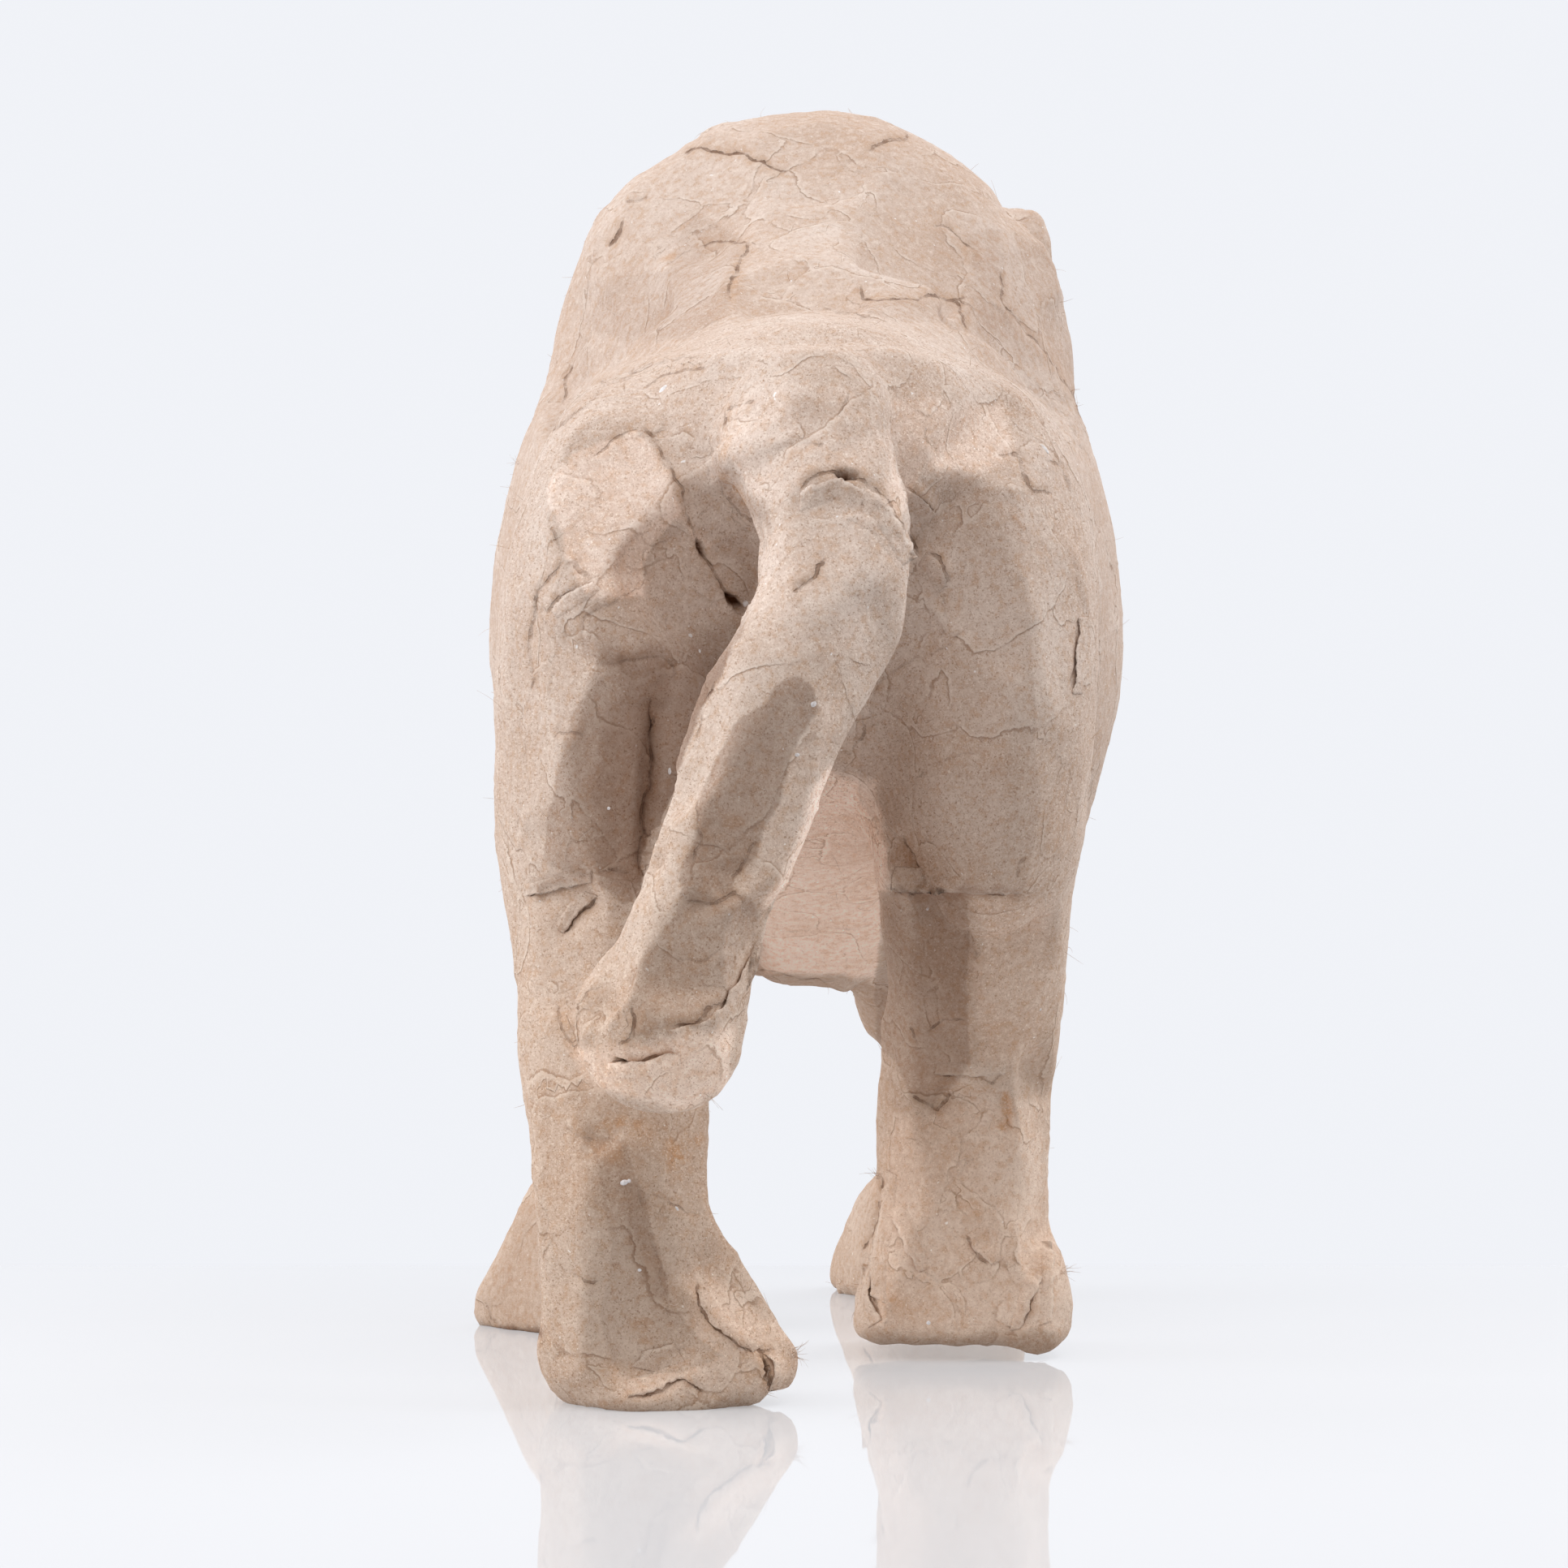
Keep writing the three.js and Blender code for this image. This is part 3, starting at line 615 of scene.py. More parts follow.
# Fullness that the flat places are cut from: the same three values
fullness = [
    ([(790, 590), (822, 632), (800, 672)], 3.6, -1.3),
    ([(1262, 300), (1278, 335), (1286, 380)], 3.0, -1.5),
    ([(1238, 250), (1266, 262)], 1.7, 1.5),
    ([(728, 312), (762, 262), (805, 220)], 3.6, -1.1),
    ([(1030, 1205), (1062, 1238), (1080, 1280)], 2.2, -1.5),
    ([(934, 1130), (930, 1170), (926, 1255), (905, 1300)], 2.0, 1.1),
    ([(680, 1640), (684, 1680), (700, 1715)], 2.6, -1.1),
    ([(1300, 1540), (1312, 1580), (1314, 1620)], 2.2, -0.8),
    ([(1262, 1660), (1295, 1655)], 2.0, -1.2),
    ([(1100, 1150), (1097, 1250), (1098, 1330)], 1.5, 0.7),
    ([(1380, 450), (1384, 500), (1392, 520)], 2.5, 0.8),
    ([(940, 480), (1030, 470), (1070, 500)], 4.0, -0.8),
    ([(868, 180), (908, 158)], 3.6, -1.1),
    ([(1000, 140), (1040, 139), (1100, 154)], 4.0, -0.5),
    ([(1330, 400), (1334, 440), (1338, 490)], 3.0, -0.9),
]


def pressHollows(hollows):
    height = np.zeros(len(skin.points))
    for line, width, depth in hollows:
        distance, _, along = lineOnPhoto(line, skin.across, skin.down)
        distance = distance * skin.perPixel
        ends = smooth(along, 0, 0.12) * (1 - smooth(along, 0.88, 1))
        height -= depth * np.exp(-((distance / width) ** 2)) * (0.35 + 0.65 * ends) * skin.near
    skin.press(height)


pressHollows(fullness)
skin.look()
cutFlats()
skin.look()
cutSmallFlats()
skin.soften(3, 0.4)
skin.look()
pressHollows(hollows)
skin.soften(1, 0.4)
skin.look()
print("forms shaped")


# The torn strips of paper: rounded oblongs laid anyhow, each over those before it
papering = {
    "strips": 640,
    "halfLength": (8, 19),
    "halfWidth": (5.5, 10),
    "corner": 4.0,
    "thickness": 0.14,
    "seed": 23,
}


def randomPlaces(rng, count):
    a, b, c = (skin.points[skin.faces[:, k]] for k in range(3))
    area = np.linalg.norm(np.cross(b - a, c - a), axis=1)
    chosen = rng.choice(len(area), count, p=area / area.sum())
    return skin.faces[chosen, 0]


def layStrips():
    # the height that the strips add, the signed distance to the nearest torn edge that shows (over 0 on the
    # strip), and a tone for each strip
    rng = np.random.default_rng(papering["seed"])
    height = np.zeros(len(skin.points))
    edge = np.full(len(skin.points), 4.0)
    tone = np.full(len(skin.points), 0.5)
    for number, index in enumerate(randomPlaces(rng, papering["strips"])):
        length, width = rng.uniform(*papering["halfLength"]), rng.uniform(*papering["halfWidth"])
        shade = rng.uniform()
        normal = skin.normals[index]
        along = unit(np.cross(normal, unit(rng.normal(size=3))))
        away = skin.points - skin.points[index]
        distance = np.linalg.norm(away, axis=1)
        near = np.flatnonzero((distance < length + width) & (skin.normals @ normal > 0.05))
        away = away[near]
        u, v = away @ along, away @ np.cross(normal, along)
        stretch = distance[near] / np.maximum(np.hypot(u, v), 1e-6)
        du = np.abs(u * stretch) - length + papering["corner"]
        dv = np.abs(v * stretch) - width + papering["corner"]
        out = np.hypot(np.maximum(du, 0), np.maximum(dv, 0)) + np.minimum(np.maximum(du, dv), 0)
        out = out - papering["corner"]
        out += noise(skin.points[near], 5.0, number) * 1.5 + noise(skin.points[near], 1.4, number) * 0.45
        inside = out < 0
        height[near] *= 1 - 0.35 * smooth(-out, 0, 1.5)
        height[near] += papering["thickness"] * smooth(-out, -0.15, 0.45)
        closer = inside | (np.abs(out) < np.abs(edge[near]))
        edge[near] = np.where(closer, -out, edge[near])
        tone[near] = np.where(inside, shade, tone[near])
    return height, np.clip(edge, -4, 4), tone


creaseRelief = {"depth": 0.13, "halfWidth": 0.4, "lift": 0.13, "liftReach": 1.9}


def markCreases():
    # for each point: the signed distance to the nearest crease in mm, how deep it is there, and the height
    # that its lifted side adds
    side = np.full(len(skin.points), 3.0)
    deep = np.zeros(len(skin.points))
    lift = np.zeros(len(skin.points))
    seen = np.flatnonzero(skin.near)
    across, down, perPixel = skin.across[seen], skin.down[seen], skin.perPixel[seen]
    for depth, upper, line in creaseLines:
        close = boxed(line, 30, across, down)
        distance, sign, along = lineOnPhoto(line, across[close], down[close])
        distance = distance * perPixel[close]
        rows = seen[close]
        nearer = distance < np.abs(side[rows])
        fade = smooth(along, 0, 0.1) * (1 - smooth(along, 0.9, 1)) * (1 - smooth(distance, 1.0, 2.6))
        side[rows] = np.where(nearer, distance * sign, side[rows])
        deep[rows] = np.where(nearer, depth * fade, deep[rows])
        step = smooth(distance * sign * upper, -0.2, 0.4) * np.exp(-((distance / creaseRelief["liftReach"]) ** 2))
        raised = depth * creaseRelief["lift"] * step * smooth(along, 0, 0.2) * (1 - smooth(along, 0.8, 1))
        lift[rows] = np.maximum(lift[rows], raised)
    return side, deep, lift


# Facets of painted shade with crisp edges: how dark the painted shade is, then the corners in pixels; neighbours
# overlap a little
paintedShadeFacets = [
    # left thigh, then the strip between its cleft and the tail
    (
        0.22, (712, 786), (718, 812), (750, 820), (728, 850), (707, 880), (697, 920), (686, 967), (677, 1010),
        (668, 1066), (728, 1080), (747, 1096), (768, 1118), (795, 1100), (798, 1072), (804, 1002), (806, 951),
        (812, 876), (830, 820), (850, 780), (780, 780),
    ),
    (
        0.5, (800, 868), (830, 800), (870, 780), (918, 780), (894, 825), (870, 876), (838, 951), (822, 1002),
        (801, 1072), (790, 1109), (784, 1080), (792, 1000), (796, 930),
    ),
    # left hip, beside the tail
    (
        0.1, (838, 646), (825, 648), (808, 668), (793, 685), (788, 731), (760, 740), (726, 750), (718, 812),
        (756, 824), (817, 812), (860, 806), (918, 790), (945, 668), (939, 643), (924, 638), (901, 650), (870, 676),
        (857, 668),
    ),
    # tail: the middle facet, then the lower part
    (
        0.33, (986, 831), (1004, 846), (1010, 874), (982, 909), (970, 946), (961, 989), (940, 1021), (928, 1050),
        (903, 1086), (905, 1099), (924, 1115), (841, 1118), (838, 1075), (857, 1037), (865, 984), (889, 930),
        (908, 892), (943, 868), (961, 844),
    ),
    (
        0.17, (838, 1104), (926, 1104), (935, 1128), (924, 1155), (908, 1180), (894, 1229), (854, 1266),
        (822, 1266), (782, 1277), (779, 1234), (779, 1207), (801, 1167), (827, 1135),
    ),
    # right buttock
    (
        0.1, (1118, 612), (1134, 586), (1150, 596), (1179, 604), (1245, 600), (1258, 650), (1266, 720),
        (1270, 800), (1276, 900), (1280, 1000), (1268, 1060), (1262, 1108), (1100, 1108), (1095, 1050),
        (1060, 980), (1060, 900), (1082, 820), (1108, 760), (1122, 700),
    ),
    # right shank: the band
    (
        0.2, (1080, 1098), (1195, 1098), (1196, 1146), (1195, 1228), (1192, 1287), (1194, 1305), (1177, 1339),
        (1150, 1362), (1121, 1350), (1104, 1310), (1080, 1290),
    ),
    # left hind leg: the stripe down to the foot
    (
        0.14, (731, 1400), (774, 1404), (780, 1441), (793, 1472), (805, 1515), (814, 1557), (823, 1594),
        (842, 1634), (890, 1674), (848, 1689), (774, 1698), (756, 1680), (741, 1640), (744, 1594), (752, 1539),
        (744, 1502), (738, 1457),
    ),
]


def wavering(across, down, amount):
    # the same pixels moved a little to and fro, so that what is drawn by them has uneven edges
    spots = np.stack([across, down, np.zeros(len(across))], 1)
    across = across + (noise(spots, 46, 61) * 9 + noise(spots, 15, 62) * 4.5) * amount
    down = down + (noise(spots, 46, 63) * 9 + noise(spots, 15, 64) * 4.5) * amount
    return across, down


def insideBy(corners, across, down):
    # how many pixels each place lies inside a polygon, less than 0 outside it
    corners = np.array(corners + corners[:1], float)
    distance, _, _ = lineOnPhoto(corners, across, down)
    a, b = corners[:-1], corners[1:]
    x, y = across[:, None], down[:, None]
    between = (a[:, 1] > y) != (b[:, 1] > y)
    rise = np.where(b[:, 1] == a[:, 1], 1e-9, b[:, 1] - a[:, 1])
    crossing = between & (x < a[:, 0] + (y - a[:, 1]) * (b[:, 0] - a[:, 0]) / rise)
    return np.where(crossing.sum(axis=1) % 2 == 1, distance, -distance)


def facetShade(across, down):
    # how many pixels each place lies inside a facet, and how dark the painted shade of the facets is there
    across, down = wavering(across, down, 0.45)
    side = np.full(len(across), -30.0)
    dark, weight = np.zeros(len(across)), np.full(len(across), 1e-6)
    for amount, *corners in paintedShadeFacets:
        close = np.flatnonzero(boxed(corners, 30, across, down))
        inside = insideBy(corners, across[close], down[close])
        side[close] = np.maximum(side[close], inside)
        share = smooth(inside, -26, 14)
        dark[close] += amount * share
        weight[close] += share
    return side, dark / weight


# Painted shade and painted light: how dark the painted shade is (under 0 for painted light, paler than the rest), how
# soft its edge is in pixels, then the corners in pixels
paintedShadeAndLight = [
    # left thigh: painted shade over the core of its shaded side
    (
        0.24, 26, (745, 800), (770, 850), (745, 900), (735, 960), (728, 1030), (745, 1075), (775, 1100), (795, 1085),
        (806, 1000), (808, 930), (822, 860), (815, 800),
    ),
    # right shank: painted shade over the core of the band and the seam above it, and a painted shadow under the foot
    (
        0.13, 18, (1118, 1100), (1197, 1096), (1199, 1146), (1198, 1228), (1194, 1290), (1176, 1339), (1150, 1362),
        (1124, 1350), (1128, 1300), (1126, 1202),
    ),
    (0.22, 7, (1092, 1094), (1150, 1097), (1262, 1096), (1262, 1103), (1150, 1108), (1094, 1104)),
    (0.22, 7, (1062, 1640), (1180, 1646), (1300, 1640), (1310, 1670), (1062, 1670)),
    (0.22, 7, (735, 1724), (830, 1738), (930, 1728), (940, 1760), (730, 1760)),
    (0.5, 5, (612, 1634), (672, 1634), (672, 1650), (612, 1650)),
    (
        0.16, 14, (765, 1440), (793, 1472), (805, 1515), (814, 1557), (823, 1594), (800, 1600), (775, 1540),
        (765, 1480),
    ),
    # painted light, paler: left hip, root lump, right rump, belly, tail's tip, right leg's edge, tail
    (
        -0.13, 4, (676, 610), (700, 560), (780, 530), (822, 580), (842, 640), (825, 648), (808, 668), (793, 685),
        (788, 731), (760, 740), (735, 738), (700, 690),
    ),
    (-0.12, 24, (795, 690), (850, 660), (905, 680), (905, 760), (850, 800), (760, 790), (740, 760)),
    (-0.09, 30, (890, 500), (960, 470), (1050, 480), (1090, 540), (1060, 580), (1000, 590), (960, 620), (905, 600)),
    (
        -0.12, 18, (1098, 500), (1150, 490), (1240, 500), (1250, 560), (1200, 590), (1140, 580), (1110, 640),
        (1085, 600),
    ),
    (
        -0.3, 16, (1015, 950), (1088, 965), (1098, 1050), (1090, 1095), (1086, 1200), (940, 1200), (945, 1110),
        (985, 1010),
    ),
    (-0.24, 20, (712, 1290), (900, 1270), (895, 1345), (830, 1362), (740, 1345)),
    (-0.08, 30, (1205, 1110), (1290, 1110), (1285, 1300), (1205, 1310)),
    (-0.05, 40, (940, 640), (1070, 620), (1110, 700), (1060, 800), (960, 820), (930, 740)),
    (-0.1, 30, (1105, 1370), (1285, 1350), (1310, 1640), (1080, 1640)),
    (-0.09, 24, (850, 1560), (970, 1640), (960, 1720), (760, 1720), (760, 1640), (840, 1640)),
    (-0.06, 20, (970, 850), (1040, 860), (960, 1060), (930, 1110), (912, 1090)),
    # painted shade: beside the root lump
    (0.24, 8, (885, 566), (903, 572), (928, 602), (942, 618), (946, 654), (934, 640), (907, 624), (885, 594)),
    (0.07, 40, (1200, 280), (1310, 300), (1345, 540), (1200, 470)),
    (0.04, 40, (740, 300), (860, 200), (880, 400), (700, 470)),
    (
        0.1, 4, (865, 265), (920, 298), (908, 336), (897, 352), (893, 388), (850, 420), (780, 425), (720, 400),
        (760, 345), (820, 330),
    ),
    (
        0.09, 5, (1190, 290), (1236, 285), (1234, 353), (1238, 383), (1290, 450), (1240, 445), (1205, 410),
        (1198, 368),
    ),
    (0.08, 3, (1066, 375), (1128, 372), (1198, 368), (1200, 395), (1150, 402), (1072, 397)),
    (0.05, 4, (1141, 282), (1173, 288), (1204, 310), (1198, 366), (1142, 365)),
    (0.06, 10, (690, 504), (706, 448), (722, 400), (745, 455), (742, 474), (672, 532)),
    (0.05, 6, (1238, 383), (1269, 417), (1322, 493), (1339, 529), (1352, 500), (1320, 380), (1290, 300), (1240, 310)),
    (0.08, 14, (590, 1480), (672, 1480), (672, 1645), (590, 1645)),
    (-0.05, 16, (870, 1560), (960, 1650), (905, 1650), (870, 1620)),
]


def paintedShadeAt(across, down):
    # how much painted shade the paper has at each place in the photograph: 1 is black and less than 0 is painted
    # light, paler than the rest
    total = np.zeros(len(across))
    wavyAcross, wavyDown = wavering(across, down, 1)
    for amount, edge, *corners in paintedShadeAndLight:
        close = np.flatnonzero(boxed(corners, edge * 2 + 20, across, down))
        inside = insideBy(corners, wavyAcross[close], wavyDown[close])
        total[close] += amount * smooth(inside, -edge / 2, edge / 2)
    # painted shade in the middle of each hole
    for hole in holes:
        share = inHole(across, down, hole)
        total = total * (1 - share) + 0.75 * share
    return np.clip(total, -0.3, 0.85)


# Rusty stains: pixel, half length and half width in pixels, lean in degrees, how strong
stains = [
    (1241, 1368, 28, 9, 84, 1.2),
    (1234, 1392, 13, 8, 20, 1.0),
    (831, 1424, 28, 17, 80, 1.0),
    (852, 1404, 16, 12, 0, 0.8),
    (768, 1388, 42, 15, 10, 0.7),
    (752, 1422, 22, 18, 0, 0.5),
    (792, 1560, 30, 14, 70, 0.5),
    (790, 1640, 26, 18, 30, 0.5),
    (942, 1690, 26, 9, 80, 0.9),
    (700, 1272, 26, 12, 70, 0.5),
    (1250, 640, 14, 5, 80, 0.7),
    (765, 1690, 40, 14, 0, 0.5),
    (1100, 1600, 22, 12, 70, 0.5),
    (905, 350, 34, 6, 98, 0.6),
    (825, 318, 16, 5, -25, 0.6),
    (795, 1120, 14, 8, 0, 0.4),
    (900, 1010, 16, 10, 60, 0.4),
    (1195, 1490, 30, 12, 20, 0.4),
    (905, 600, 34, 9, 50, 0.9),
    (895, 545, 24, 6, 95, 0.6),
    (1190, 1340, 40, 8, 5, 0.4),
]


stain = np.zeros(len(skin.points))
for mark in stains:
    stain = np.maximum(stain, mark[5] * inHole(skin.across, skin.down, mark) * skin.near)
stripHeight, stripEdge, stripTone = layStrips()
creaseSide, creaseDeep, creaseLift = markCreases()
shade = np.where(skin.near, paintedShadeAt(skin.across, skin.down), 0)
facetSide, paintedFacetShade = facetShade(skin.across, skin.down)
facetSide = np.where(skin.near, facetSide * skin.perPixel, -3.0)
paintedFacetShade = paintedFacetShade * skin.near
for hole in holes:
    skin.press(-hole[5] * inHole(skin.across, skin.down, hole) * skin.near)
profile = np.exp(-((np.abs(creaseSide) / creaseRelief["halfWidth"]) ** 2))
grooves = creaseRelief["depth"] * creaseDeep * profile - creaseLift
lumps = noise(skin.points, 6.0, 1) * 0.14 + noise(skin.points, 2.2, 2) * 0.06 + noise(skin.points, 0.9, 3) * 0.025
skin.press(stripHeight + lumps - grooves)
skin.look()
print("paper laid")


class Socket:
    # A node's output that can be used in sums: each operator adds a Math node
    def __init__(self, paint, link):
        self.paint = paint
        self.link = link

    def math(self, operation, *values):
        return self.paint.node("ShaderNodeMath", {"operation": operation}, {n: v for n, v in enumerate(values)})

    def __add__(self, other):
        return self.math("ADD", self, other)

    def __sub__(self, other):
        return self.math("SUBTRACT", self, other)

    def __rsub__(self, other):
        return self.math("SUBTRACT", other, self)

    def __mul__(self, other):
        return self.math("MULTIPLY", self, other)

    def ramp(self, low, high):
        # 0 below low and 1 above high, or the other way round where low is the larger
        return self.paint.node(
            "ShaderNodeMapRange",
            {"interpolation_type": "SMOOTHSTEP"},
            {"Value": self, "From Min": low, "From Max": high},
        )

    def linear(self, low, high):
        # the same in a straight line
        return self.paint.node("ShaderNodeMapRange", {}, {"Value": self, "From Min": low, "From Max": high})

    def most(self, other):
        return self.math("MAXIMUM", self, other)

    def size(self):
        return self.math("ABSOLUTE", self)


class Paint:
    # A material in the making
    def __init__(self, name):
        self.material = bpy.data.materials.new(name)
        self.material.use_nodes = True
        self.tree = self.material.node_tree
        self.tree.nodes.clear()

    def node(self, kind, settings=None, inputs=None, output=0):
        made = self.tree.nodes.new(kind)
        for key, value in (settings or {}).items():
            setattr(made, key, value)
        for key, value in (inputs or {}).items():
            if isinstance(value, Socket):
                self.tree.links.new(value.link, made.inputs[key])
            else:
                made.inputs[key].default_value = value
        return Socket(self, made.outputs[output] if len(made.outputs) else None)

    def place(self):
        return self.node("ShaderNodeTexCoord", output="Object")

    def attribute(self, name):
        return self.node("ShaderNodeAttribute", {"attribute_name": name}, output="Fac")

    def noise(self, at, scale, detail=3, roughness=0.55, distortion=0.0):
        return self.node(
            "ShaderNodeTexNoise",
            {},
            {"Vector": at, "Scale": scale, "Detail": detail, "Roughness": roughness, "Distortion": distortion},
        )

    def stretched(self, at, turn, scale):
        return self.node("ShaderNodeMapping", {}, {"Vector": at, "Rotation": turn, "Scale": scale})

    def mix(self, share, a, b, mode="MIX"):
        inputs = {0: share, 6: a, 7: b}
        return self.node("ShaderNodeMix", {"data_type": "RGBA", "blend_type": mode}, inputs, output=2)

    def bump(self, height, strength, distance, normal=None):
        inputs = {"Strength": strength, "Distance": distance, "Height": height}
        if normal:
            inputs["Normal"] = normal
        return self.node("ShaderNodeBump", {}, inputs)

    def finish(self, **inputs):
        settings = {key.replace("_", " "): value for key, value in inputs.items()}
        shader = self.node("ShaderNodeBsdfPrincipled", {}, settings)
        self.node("ShaderNodeOutputMaterial", {}, {"Surface": shader})
        return self.material


def rgb(red, green, blue):
    # a screen colour, 0 to 255, as linear light
    return tuple(((c / 255 + 0.055) / 1.055) ** 2.4 if c > 10 else c / 3300 for c in (red, green, blue)) + (1,)


paperColours = {
    "pale": rgb(213, 196, 184),
    "deep": rgb(196, 172, 155),
    "rust": rgb(190, 154, 124),
    "stain": rgb(192, 146, 104),
    "fibre": rgb(228, 214, 202),
    "darkFibreAndShade": rgb(160, 130, 108),
    "shadedCrack": rgb(112, 82, 62),
    "speck": rgb(244, 243, 244),
    # shade multiplies in painted shade, and lift multiplies in painted light
    "shade": (0.25, 0.125, 0.05, 1),
    "lift": (1.6, 1.61, 1.64, 1),
    "footTint": (1.0, 0.94, 0.86, 1),
}


def kraftPaper():
    paint = Paint("kraft paper")
    at = paint.place()
    cloud = paint.noise(at, 60, 4, 0.6)
    blotch = paint.noise(at, 130, 3, 0.6)
    tone = paint.attribute("stripTone")
    share = (cloud.ramp(0.38, 0.64) * 0.5) + (tone * 0.5)
    base = paint.mix(share, paperColours["deep"], paperColours["pale"])
    base = paint.mix(blotch.ramp(0.6, 0.78) * 0.3, base, paperColours["rust"])

    # fibres: fine noise drawn out one way, in three ways
    fibres = []
    for turn in ((0.3, 0.2, 0.4), (1.3, 0.5, 2.1), (0.7, 1.9, 1.2)):
        drawn = paint.stretched(at, turn, (3600, 620, 3600))
        fibres.append(paint.noise(drawn, 1.0, 3, 0.6, 0.8))
    light = fibres[0].ramp(0.56, 0.72).most(fibres[1].ramp(0.57, 0.73)).most(fibres[2].ramp(0.58, 0.74))
    dark = fibres[0].ramp(0.42, 0.3).most(fibres[1].ramp(0.42, 0.3)).most(fibres[2].ramp(0.4, 0.28))
    felt = paint.noise(at, 2200, 3, 0.65)
    mottle = paint.noise(at, 900, 3, 0.6)
    base = paint.mix(mottle.ramp(0.52, 0.32) * 0.5, base, paperColours["rust"])
    patchy = paint.noise(at, 500, 4, 0.65).ramp(0.35, 0.6)
    base = paint.mix(paint.attribute("stain") * patchy * 0.85, base, paperColours["stain"])
    base = paint.mix(mottle.ramp(0.5, 0.7) * 0.4, base, paperColours["fibre"])
    # the fibres lie flatter on the mane
    flatter = paint.node("ShaderNodeSeparateXYZ", {}, {"Vector": at}, output=1).ramp(0.0, -0.06) * 0.5 + 0.45
    base = paint.mix(light * flatter, base, paperColours["fibre"])
    base = paint.mix(dark * flatter * 0.9, base, paperColours["darkFibreAndShade"])
    speck = paint.noise(at, 1500, 1, 0.4).ramp(0.77, 0.8)
    base = paint.mix(speck * 0.7, base, paperColours["speck"])

    # torn edges and creases, drawn where their signed distance is nought: a painted shadow beside each torn edge with
    # a paler torn rim, a browner band along each crease, a halo of painted shade round it and dark painted shade in
    # the crack
    wander = (paint.noise(at, 1100, 4, 0.65) - 0.5) * 0.9
    edge = paint.attribute("stripEdge") + wander
    shadow = edge.ramp(-0.34, -0.04) * edge.ramp(0.1, -0.02)
    rim = edge.ramp(0.0, 0.12) * edge.ramp(0.75, 0.15)
    broken = paint.noise(at, 210, 3, 0.6).ramp(0.36, 0.62)
    side = (paint.attribute("creaseSide") + (wander * 0.8)).size()
    worn = paint.noise(at, 420, 3, 0.6).ramp(0.3, 0.75)
    deep = paint.attribute("creaseDeep") * ((worn * 0.75) + 0.4)
    shadedCrack = (side - (deep * 0.085)).ramp(0.13, 0.0) * deep.ramp(0.15, 2.1)
    creaseShade = side.ramp(0.9, 0.05) * deep.ramp(0.3, 2.4)
    base = paint.mix(rim * broken * 0.45, base, paperColours["fibre"])
    base = paint.mix(shadow * broken * 0.65, base, paperColours["darkFibreAndShade"])
    base = paint.mix(side.ramp(2.0, 0.1) * deep.ramp(0.2, 1.6) * 0.3, base, paperColours["rust"])
    base = paint.mix(creaseShade * 0.35, base, paperColours["darkFibreAndShade"])
    base = paint.mix(shadedCrack * 0.8, base, paperColours["shadedCrack"])
    # painted shade from the facets and the shade attribute darkens the paper; where the shade is under 0, the lift
    # colour multiplies in painted light
    facet = (paint.attribute("facetSide") + (wander * 0.8)).ramp(-0.2, 0.3) * paint.attribute("paintedFacetShade")
    shade = paint.attribute("shade") + facet
    base = paint.mix(shade.linear(0, 0.85), base, paperColours["shade"], "MULTIPLY")
    base = paint.mix(shade.linear(0, -0.3), base, paperColours["lift"], "MULTIPLY")
    aboveFloor = paint.node("ShaderNodeSeparateXYZ", {}, {"Vector": at}, output=2)
    base = paint.mix(aboveFloor.ramp(0.12, 0.02) * 0.9, base, paperColours["footTint"], "MULTIPLY")

    relief = (fibres[0] + fibres[1] + fibres[2]) * 0.22 + felt * 0.25
    fine = paint.bump(relief, 0.7, 0.0003)
    torn = paint.bump(edge.ramp(-0.12, 0.14) * broken, 0.5, 0.0002, fine)
    normal = paint.bump(1 - shadedCrack, 0.8, 0.0004, torn)
    return paint.finish(Base_Color=base, Roughness=0.92, Specular_IOR_Level=0.3, Normal=normal)


paper = kraftPaper()
skin.points[:, 2] = np.maximum(skin.points[:, 2], 0)
marks = {
    "stripEdge": stripEdge,
    "stripTone": stripTone,
    "creaseSide": creaseSide,
    "creaseDeep": creaseDeep,
    "shade": shade,
    "stain": stain,
    "facetSide": facetSide,
    "paintedFacetShade": paintedFacetShade,
}
lion = makePiece("lion_skin", skin.points, skin.faces, paper, marks, slot="kraft_paper")
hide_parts("papier_mache_lion")
print("skin made")


def closedUp(top, bottom):
    # points and triangles of a thin sheet from the grids of its two sides, with its rim, facing outwards
    rows, columns = top.shape[:2]
    points = np.concatenate([top.reshape(-1, 3), bottom.reshape(-1, 3)])
    index = np.arange(rows * columns).reshape(rows, columns)
    quads = np.stack([index[:-1, :-1], index[1:, :-1], index[1:, 1:], index[:-1, 1:]], 2).reshape(-1, 4)
    rim = np.concatenate([index[0, :], index[1:, -1], index[-1, -2::-1], index[-2:0:-1, 0]])
    onward = np.roll(rim, -1)
    under = rows * columns
    sides = np.stack([rim, rim + under, onward + under, onward], 1)
    quads = np.concatenate([quads, quads[:, ::-1] + under, sides[:, ::-1]])
    faces = np.concatenate([quads[:, [0, 1, 2]], quads[:, [0, 2, 3]]])
    a, b, c = (points[faces[:, k]] for k in range(3))
    turned = np.sum(np.cross(a, b) * c) < 0
    return points, faces[:, ::-1] if turned else faces


skinTree = BVHTree.FromPolygons(skin.points.tolist(), skin.faces.tolist())
rightDirection = np.array([1.0, 0, 0])


def onSkin(across, down):
    # the skin's point and outward normal at a pixel of the photograph, or None beside the lion
    middle = cameraSettings["photoPixels"] / 2
    aside = rightDirection * (across - middle) - upDirection * (down - middle)
    ray = lookDirection + aside / cameraSettings["focalPixels"]
    place, normal, _, _ = skinTree.ray_cast(Vector(cameraAt), Vector(unit(ray)))
    return (None, None) if place is None else (np.array(place), np.array(normal))


